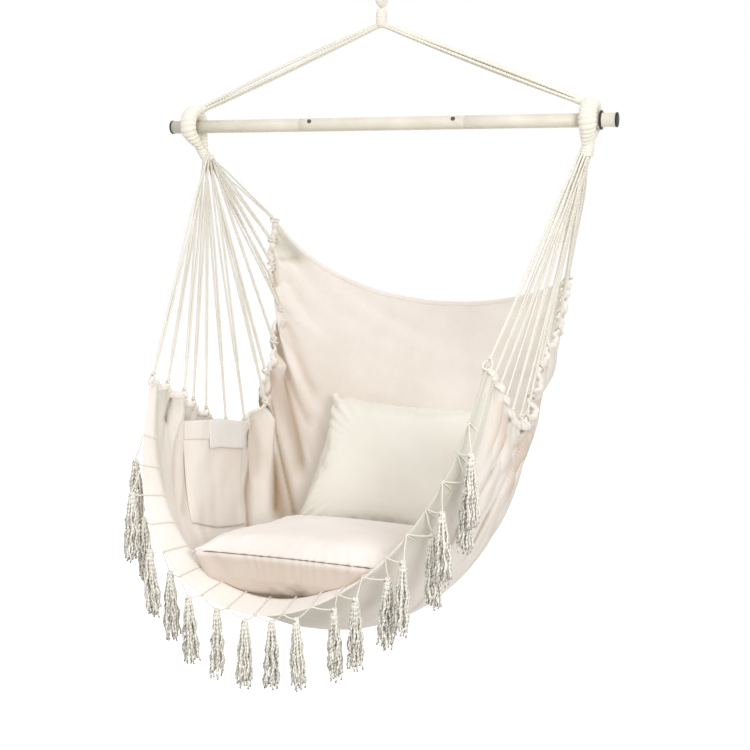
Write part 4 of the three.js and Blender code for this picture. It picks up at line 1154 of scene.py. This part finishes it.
def sew(piece, place, half_depth, rest_place, spread, crown, slant, droop, under, rounding):
    """Draws the cover in along its seam, puckers it there and at the corners, and lets it slump.

    It spreads in its plane, flattens its crown, slants sideways and sags at its belly, as its own weight
    and the sling press it, rounds its back corners, and lies in rest_place. Its lower cover takes on the
    share under of a painted shade, in a warmer tone."""
    half_width = CUSHION_HALF_WIDTH
    back = np.array(place.inverted())
    local = vertex_rows(piece.data, "co") @ back[:3, :3].T + back[:3, 3]
    normals = vertex_rows(piece.data, "normal") @ back[:3, :3].T
    x, y, height = local[:, 0], local[:, 1], local[:, 2]
    angle = np.arctan2(y / half_depth, x / half_width)
    corner = np.linalg.norm(np.abs(local[:, :2]) - (half_width * 0.94, half_depth * 0.94), axis=1)
    rim = np.maximum(np.abs(x) / half_width, np.abs(y) / half_depth)
    outer = np.clip((rim - 0.6) / 0.25, 0, 1)
    seam = -0.0042 * np.exp(-((height / 0.0026) ** 2)) * outer
    lip = 0.0012 * np.exp(-(((np.abs(height) - 0.006) / 0.003) ** 2)) * outer
    pucker = 0.0011 * np.sin(angle * 70 + 2 * np.sin(angle * 13)) * np.exp(-np.abs(height) / 0.014) * outer
    creases = 0.0045 * np.sin(angle * 34 + 6 * np.sin(angle * 5)) * np.exp(-((corner / 0.075) ** 2))
    slow = 0.0016 * np.sin(23 * x + 9 * y + 1.3) * np.sin(19 * y - 7 * x)
    moved = seam + lip + pucker + creases + slow
    local = local + normals * moved[:, None]
    sag = droop * np.clip((rim - 0.4) / 0.4, 0, 1) * np.clip((-height - 0.003) / 0.022, 0, 1)
    local[:, 2] = np.where(local[:, 2] > 0, local[:, 2] * crown, local[:, 2]) - sag
    local[:, :2] *= spread
    pressed = np.exp(-((corner / 0.11) ** 2)) * (local[:, 1] > 0)
    local[:, :2] *= (1 - rounding * pressed)[:, None]
    local[:, 0] += slant * local[:, 1]
    # Painted shade on the lower cover, below the seam
    paint(piece, "under", np.repeat(under * np.clip((-height - 0.001) / 0.004, 0, 1), 4))
    rest = np.array(rest_place)
    piece.data.vertices.foreach_set("co", (local @ rest[:3, :3].T + rest[:3, 3]).ravel())
    piece.data.update()


def cushion_place(centre, lean, roll):
    """A cushion's frame: its middle, leant back and rolled to one side by degrees."""
    turned = Matrix.Rotation(math.radians(roll), 4, "Y") @ Matrix.Rotation(math.radians(lean), 4, "X")
    return Matrix.Translation(centre) @ turned


SEAT_PLACE = cushion_place((-0.034, -0.178, BAR_Z - 0.866), -4, 0)
seat_cover = cover_finish("brushed_cotton_seat_cover", "#EBE1D9", "#F4ECE6")
SEAT_REST = cushion_place((-0.038, -0.180, BAR_Z - 0.873), -6.5, 0)
SEAT_SLUMP = {
    "rest_place": SEAT_REST,
    "spread": 1.062,
    "crown": 0.80,
    "slant": 0.0,
    "droop": 0.024,
    "under": 0.5,
    "rounding": 0.06,
}
seat = stuffed("seat_cushion_cover", "seat_cushion", SEAT_PLACE, seat_cover, 0.22, SEAT_SLUMP)

# Where the covers meet, a row of seam thread in dark brown stands for the overlap's shadow: painted shadow
seam_shadow_thread = new_material("seam_thread_with_painted_shadow", Roughness=0.9, Specular_IOR_Level=0.2)
feed(
    seam_shadow_thread,
    Base_Color=ramp(seam_shadow_thread, noise(seam_shadow_thread, 500.0, 2.0), "#75644F", "#A08C70", 0.35, 0.7),
)


def seam_row(name, piece, rest, node):
    """A row of dark thread all round a cushion, in the groove between its covers, as painted shadow of
    their overlap.
    """
    tree = surface_tree(piece.data)
    centre = rest @ Vector((0, 0, 0))
    hits = []
    for turn in np.linspace(0, 2 * math.pi, 720, endpoint=False):
        aim = rest.to_3x3() @ Vector((math.cos(turn), math.sin(turn), 0.002))
        spot = tree.ray_cast(centre, aim)[0]
        if spot is not None:
            hits.append(np.array(spot) + np.array(aim) * 0.0003)
    hits = np.array(hits)
    calm = sum(np.roll(hits, shift, 0) for shift in range(-3, 4)) / 7
    bm = bmesh.new()
    route = along_route(np.concatenate([calm, calm[:1]]), np.linspace(0, 1, 700))
    lay_rope(bm, route, 0.0011, 0.006, sides=6)
    finish_piece(name, bm, seam_shadow_thread, node)


seam_row("seat_seam_shadow_thread", seat, SEAT_REST, "seat_cushion")

# Back pillow
# The same kind of cushion, softer, stands against the sling's back behind the seat. Its cotton is a
# slightly greener white.
PILLOW_PLACE = cushion_place((0.001, 0.172, BAR_Z - 0.812), 78, 8)
pillow_cover = cover_finish("brushed_cotton_pillow_cover", "#EDE9DE", "#F6F3EA")
PILLOW_REST = cushion_place((-0.024, 0.170, BAR_Z - 0.788), 67, 1.5)
PILLOW_SLUMP = {
    "rest_place": PILLOW_REST,
    "spread": 1.04,
    "crown": 1.0,
    "slant": 0.15,
    "droop": 0.0,
    "under": 0.0,
    "rounding": 0.0,
}
pillow = stuffed("back_pillow_cover", "back_pillow", PILLOW_PLACE, pillow_cover, 0.18, PILLOW_SLUMP)

# Spreader bar
# Three steel tubes of 28 mm, powder-coated cream. The outer two have narrower spigots that plug into the
# middle one, where spring buttons lock them. The coat is satin with a faint orange peel.
cream_coat = new_material(
    "cream_powder_coat", Roughness=0.42, Coat_Weight=0.15, Coat_Roughness=0.35, Specular_IOR_Level=0.45
)
feed(
    cream_coat,
    Base_Color=ramp(cream_coat, noise(cream_coat, 14.0, 5.0), "#DDD6C6", "#E9E3D5", 0.35, 0.7),
    Normal=bump(cream_coat, noise(cream_coat, 650.0, 1.0), 0.25, 0.0003),
)

TUBE_RADIUS = 0.014
BORE_RADIUS = 0.0128
SPIGOT_RADIUS = 0.0125
SPIGOT_BORE = 0.0113
SPIGOT_END = 0.1152
CENTRE_END = 0.185
SEAM_X = 0.1852
TUBE_END = 0.49565
BEVEL = 0.0006
BUTTON_X = 0.161
BUTTON_TURN = math.radians(32)
BUTTON_OUT = Vector((0, -math.cos(BUTTON_TURN), math.sin(BUTTON_TURN)))
HOLE_RADIUS = 0.0043


def spun(bm, corners, axis, steps, closed):
    """Spins a profile of corners round an axis through the origin."""
    made = [bm.verts.new(corner) for corner in corners]
    following = made[1:] + made[:1] if closed else made[1:]
    edges = [bm.edges.new(pair) for pair in zip(made, following)]
    whole = 2 * math.pi
    geom = made + edges
    bmesh.ops.spin(bm, geom=geom, cent=(0, 0, 0), axis=axis, angle=whole, steps=steps, use_merge=True)


def bar_part(name, side, profile, material, replaced):
    """A round part of the bar: a closed profile of (radius, x) corners on one side, spun round the bar."""
    bm = bmesh.new()
    spun(bm, [(side * x, 0, radius) for radius, x in profile], (1, 0, 0), 64, True)
    bmesh.ops.translate(bm, vec=(0, 0, BAR_Z), verts=bm.verts)
    bmesh.ops.remove_doubles(bm, verts=bm.verts, dist=1e-6)
    return finish_piece(name, bm, material, "spreader_bar", replaced)


def button_frame(x, out):
    """The place of the snap button at x, moved out by a distance, with +Z out through the tube's wall."""
    turn = BUTTON_OUT.to_track_quat("Z", "Y").to_matrix().to_4x4()
    return Matrix.Translation(Vector((x, 0, BAR_Z)) + BUTTON_OUT * out) @ turn


def punch_hole(piece, x):
    """Cuts a round hole of the button's size through the outer side of a tube."""
    bm = bmesh.new()
    radius = HOLE_RADIUS
    bmesh.ops.create_cone(bm, cap_ends=True, segments=32, radius1=radius, radius2=radius, depth=0.02)
    bmesh.ops.transform(bm, matrix=button_frame(x, 0.014), verts=bm.verts)
    punch = new_object("punch", bm)
    hole = piece.modifiers.new("button_hole", "BOOLEAN")
    hole.operation = "DIFFERENCE"
    hole.object = punch
    settle(piece)
    bpy.data.objects.remove(punch)


CENTRE_PROFILE = [
    (BORE_RADIUS, -CENTRE_END),
    (TUBE_RADIUS - BEVEL, -CENTRE_END),
    (TUBE_RADIUS, -CENTRE_END + BEVEL),
    (TUBE_RADIUS, -BUTTON_X - 0.006),
    (TUBE_RADIUS, -BUTTON_X + 0.006),
    (TUBE_RADIUS, BUTTON_X - 0.006),
    (TUBE_RADIUS, BUTTON_X + 0.006),
    (TUBE_RADIUS, CENTRE_END - BEVEL),
    (TUBE_RADIUS - BEVEL, CENTRE_END),
    (BORE_RADIUS, CENTRE_END),
]
solids = ["bar_centre_tube"]
centre_tube = bar_part("centre_tube", 1, CENTRE_PROFILE, cream_coat, solids)
punch_hole(centre_tube, -BUTTON_X)
punch_hole(centre_tube, BUTTON_X)
for side, word in SIDES:
    profile = [
        (SPIGOT_BORE, SPIGOT_END),
        (SPIGOT_RADIUS, SPIGOT_END),
        (SPIGOT_RADIUS, SEAM_X),
        (TUBE_RADIUS - BEVEL, SEAM_X),
        (TUBE_RADIUS, SEAM_X + BEVEL),
        (TUBE_RADIUS, TUBE_END),
        (BORE_RADIUS, TUBE_END),
        (BORE_RADIUS, SEAM_X + 0.006),
        (SPIGOT_BORE, SEAM_X),
    ]
    solids = ["bar_" + word + "_tube"]
    outer_tube = bar_part(word + "_tube", side, profile, cream_coat, solids)
    punch_hole(outer_tube, side * BUTTON_X)

# End caps and stop rings
# Black polyethylene caps plug the bar's ends, and thin black rings keep the rope eyes off them. Moulded
# plastic: matt black with a soft highlight and a fine moulding grain.
black_plastic = new_material(
    "moulded_black_polyethylene", Specular_IOR_Level=0.4, Base_Color=linear("#1A1A1C")
)
grain = noise(black_plastic, 1200.0, 2.0)
feed(
    black_plastic,
    Roughness=spread_over(black_plastic, grain, 0.38, 0.6),
    Normal=bump(black_plastic, grain, 0.2, 0.0002),
)

CAP_PROFILE = [
    (0.0, 0.482),
    (0.0118, 0.482),
    (0.01245, 0.4835),
    (0.01245, 0.4958),
    (0.0148, 0.4962),
    (0.0148, 0.4988),
    (0.0139, 0.4997),
    (0.0125, 0.5),
    (0.0, 0.5),
]
STOP_START = 0.4649
STOP_PROFILE = [
    (0.01435, STOP_START),
    (0.0188, STOP_START),
    (0.0193, STOP_START + 0.0006),
    (0.0193, STOP_START + 0.0028),
    (0.0188, STOP_START + 0.0034),
    (0.01435, STOP_START + 0.0034),
]
for side, word in SIDES:
    for name, solid, profile in (
        ("bar_end_cap_", "end_cap_", CAP_PROFILE),
        ("bar_stop_ring_", "stop_ring_", STOP_PROFILE),
    ):
        bar_part(name + word, side, profile, black_plastic, [solid + word])

# Snap buttons and leaf springs
# Pressed from spring steel with a dark heat-treated skin. A bent leaf inside the tube pushes each domed
# button out through both walls.
dark_steel = new_material("oil_tempered_spring_steel", Metallic=0.9)
scale_marks = noise(dark_steel, 420.0, 3.0)
feed(
    dark_steel,
    Base_Color=ramp(dark_steel, scale_marks, "#3A3B3E", "#6B6D70"),
    Roughness=spread_over(dark_steel, scale_marks, 0.3, 0.55),
)

DOME_PROFILE = [
    (0.0, 0.0073),
    (0.004, 0.0073),
    (0.004, 0.0152),
    (0.0037, 0.0159),
    (0.003, 0.0163),
    (0.0, 0.0165),
]
for side, word in SIDES:
    bm = bmesh.new()
    spun(bm, [(radius, 0, height) for radius, height in DOME_PROFILE], (0, 0, 1), 40, False)
    bmesh.ops.remove_doubles(bm, verts=bm.verts, dist=1e-6)
    bmesh.ops.transform(bm, matrix=button_frame(side * BUTTON_X, 0.0), verts=bm.verts)
    button = "snap_button_" + word
    finish_piece("button_dome_" + word, bm, dark_steel, button, [button])
    # The leaf is a copy of its solid, in the dark steel
    leaf = bpy.data.objects.new("leaf_spring_" + word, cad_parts["button_spring_" + word].data.copy())
    bpy.context.scene.collection.objects.link(leaf)
    leaf.data.materials.clear()
    leaf.data.materials.append(dark_steel)
    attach(leaf, "spreader_bar")
    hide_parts("button_spring_" + word)
    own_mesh(leaf)

# Fringe cord
# A thin cotton cord is laced through the front hem and hangs in a zigzag below it. Each stitch shows as a
# short bar across the hem's face, and each low point carries a tassel.
def low_point(number):
    """The middle of a tassel's top, in its solid's box."""
    low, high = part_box("tassel_%02d" % number)
    return np.array([(low[0] + high[0]) / 2, (low[1] + high[1]) / 2, high[2]])


LOW_POINTS = [low_point(number) for number in range(1, STITCHES)]
FRINGE_RADIUS = 0.0014
FRINGE_LAY = 0.007
SAG = np.array([0, 0, -0.003])
# A stitch's way up the hem's face, over its free edge and up its back: shares along, metres off the cloth
STITCH_ALONG = np.array([0.0258, 0.0236, 0.0130, 0.0010, -0.0042, 0.0010, 0.0130, 0.0258])
STITCH_PROUD = np.array([0.0004, 0.0044, 0.0046, 0.0044, 0.0, -0.0044, -0.0046, -0.0016])
STITCH_SLANT = np.linspace(0.0015, -0.0015, 8)
hang_points = on_cloth(STITCH_PLACES, -0.0042)
bm = bmesh.new()
for i in range(STITCHES):
    over = on_cloth(STITCH_PLACES[i] + STITCH_SLANT, STITCH_ALONG, STITCH_PROUD)
    lay_rope(bm, smooth_route(over, 50), FRINGE_RADIUS, FRINGE_LAY)
    if i < STITCHES - 1:
        low = LOW_POINTS[i] + np.array([0, 0, -0.001])
        start, end = hang_points[i : i + 2]
        corners = [start, start * 0.45 + low * 0.55 + SAG, low, end * 0.45 + low * 0.55 + SAG, end]
        lay_rope(bm, smooth_route(corners, 70), FRINGE_RADIUS, FRINGE_LAY)
hammock_rope("fringe_lacing", bm, "fringe_cord")

# Tassels
# Each tassel is a hank of crimped cotton yarn doubled over the fringe cord and tied below its head, so that
# wavy strands hang free, cut by hand to uneven lengths.
tassel_yarn = new_material(
    "crimped_cotton_yarn", Roughness=0.95, Sheen_Weight=0.8, Sheen_Roughness=0.5, Specular_IOR_Level=0.15
)
fibres = noise(tassel_yarn, 1100.0, 3.0)
strand_tone = add_node(tassel_yarn, "ShaderNodeVertexColor", layer_name="strand").outputs["Color"]
mixed = add_node(
    tassel_yarn, "ShaderNodeMix", {"Factor": 0.35}, {2: strand_tone, 3: fibres}, data_type="FLOAT"
).outputs["Result"]
feed(
    tassel_yarn,
    Base_Color=ramp(tassel_yarn, mixed, "#F6F0E0", "#FFFBF0", 0.25, 0.75),
    Normal=bump(tassel_yarn, fibres, 0.5, 0.0004),
)

STRANDS = 20
STRAND_STEPS = 17
TASSEL_LENGTH = 0.136
SKIRT_RADIUS = 0.0185
GOLDEN_ANGLE = 2.39996
TASSEL_DOWN = np.array([0.0, 0.05, 0.1, 0.2, 0.4, 0.8, 1.0])
TASSEL_OUT = np.array([0.18, 0.36, 0.34, 0.5, 0.74, 1.0, 0.95])


def coil(top, radius, turns, start, drop, count):
    """A cord wound round a tassel, from a start below its top and down by a drop."""
    share = np.linspace(0, 1, count)
    wrap = 2 * np.pi * turns * share
    return top + np.stack([radius * np.cos(wrap), radius * np.sin(wrap), start - drop * share], 1)


for number, top in enumerate(LOW_POINTS, 1):
    chance = random.Random(100 + number)
    lean = (chance.uniform(-0.006, 0.006), chance.uniform(-0.006, 0.006))
    bm = bmesh.new()
    tone_layer = bm.loops.layers.float_color.new("strand")
    share = np.linspace(0, 1, STRAND_STEPS)
    crimp = 0.0019 * np.clip((share - 0.12) * 3, 0, 1)
    for strand in range(STRANDS):
        angle = strand * GOLDEN_ANGLE + chance.uniform(-0.3, 0.3)
        depth = math.sqrt((strand + 0.5) / STRANDS)
        length = TASSEL_LENGTH * chance.uniform(0.86, 1.04)
        wide = np.interp(share, TASSEL_DOWN, TASSEL_OUT) * (SKIRT_RADIUS - 0.0015) * depth
        rate, phase, phase2 = chance.uniform(2.5, 4.5), chance.uniform(0, 6.28), chance.uniform(0, 6.28)
        x = wide * math.cos(angle) + crimp * np.sin(rate * 6.28 * share + phase) + lean[0] * share**2
        y = wide * math.sin(angle) + crimp * np.cos(rate * 5.1 * share + phase2) + lean[1] * share**2
        line = np.stack([x, y, -0.002 - length * share], 1) + top
        before = set(bm.faces)
        lay_rope(bm, along_route(line, share), 0.0029, 0.02, sides=5, strands=2, taper=0.2)
        tone = chance.uniform(0.25, 1.0)
        for face in set(bm.faces) - before:
            for loop in face.loops:
                loop[tone_layer] = (tone, tone, tone, 1)
    # The cord tied round below the head, then the knot on the fringe cord
    lay_rope(bm, coil(top, 0.0066, 3, -0.0135, 0.0040, 60), 0.0012, 0.008, sides=6, strands=2)
    lay_rope(bm, coil(top, 0.0040, 2, -0.0005, 0.004, 40), 0.0016, 0.008, sides=6, strands=2)
    solids = ["tassel_%02d" % number]
    finish_piece("yarn_tassel_%02d" % number, bm, tassel_yarn, "hammock", solids)

# Floor and light
# A plain white studio: a pale floor below the chair, a dome of light that is brighter overhead, and two
# soft lamps in front, one above and one to the right, that give the folds their shade.
WHITE = (1.0, 1.0, 1.0, 1.0)
FLOOR_HALF_WIDE, FLOOR_Z = 9.0, -2.15
FLOOR_GLOW = 0.75
floor_paint = new_material(
    "white_studio_floor",
    Roughness=0.9,
    Specular_IOR_Level=0.1,
    Base_Color=linear("#D2D0CC"),
    Emission_Color=WHITE,
)


def shown(material):
    """1 on the rays that show a background, which are camera, glossy and transmission rays, else 0."""
    rays = add_node(material, "ShaderNodeLightPath").outputs
    seen = larger(material, rays["Is Camera Ray"], rays["Is Glossy Ray"])
    return larger(material, seen, rays["Is Transmission Ray"])


glow = add_node(
    floor_paint, "ShaderNodeMath", {1: FLOOR_GLOW}, {0: shown(floor_paint)}, operation="MULTIPLY"
)
feed(floor_paint, Emission_Strength=glow.outputs["Value"])
bm = bmesh.new()
bmesh.ops.create_grid(bm, x_segments=1, y_segments=1, size=FLOOR_HALF_WIDE)
bmesh.ops.translate(bm, vec=(0, 0, FLOOR_Z), verts=bm.verts)
floor = new_object("studio_floor", bm)
floor.data.materials.append(floor_paint)

world = bpy.data.worlds.new("studio_dome")
bpy.context.scene.world = world
world.use_nodes = True
background = world.node_tree.nodes["Background"]
background.inputs["Color"].default_value = WHITE
# The dome is brighter overhead than below, so that undersides and deep folds fall into shade
ray = add_node(world, "ShaderNodeTexCoord").outputs["Generated"]
height = add_node(world, "ShaderNodeSeparateXYZ", links={"Vector": ray}).outputs["Z"]
dome = spread_over(world, height, 0.38, 0.88, -0.7, 0.7)
level = add_node(world, "ShaderNodeMix", {3: 1.0}, {0: shown(world), 2: dome}, data_type="FLOAT")
world.node_tree.links.new(level.outputs["Result"], background.inputs["Strength"])


def lamp(name, place, target, size, power):
    """A round soft lamp at a place, turned to a target, with its width in metres and its power in watts."""
    data = bpy.data.lights.new(name, "AREA")
    data.shape = "DISK"
    data.size = size
    data.energy = power
    thing = bpy.data.objects.new(name, data)
    thing.location = place
    thing.rotation_euler = (Vector(target) - Vector(place)).to_track_quat("-Z", "Y").to_euler()
    bpy.context.scene.collection.objects.link(thing)


lamp("key_lamp", (-0.3, -2.4, 1.3), (0, 0, -0.9), 0.7, 15)
lamp("front_lamp", (2.2, -2.6, 0.0), (0, 0, -0.9), 1.2, 44)

bpy.context.scene.view_settings.view_transform = "Standard"
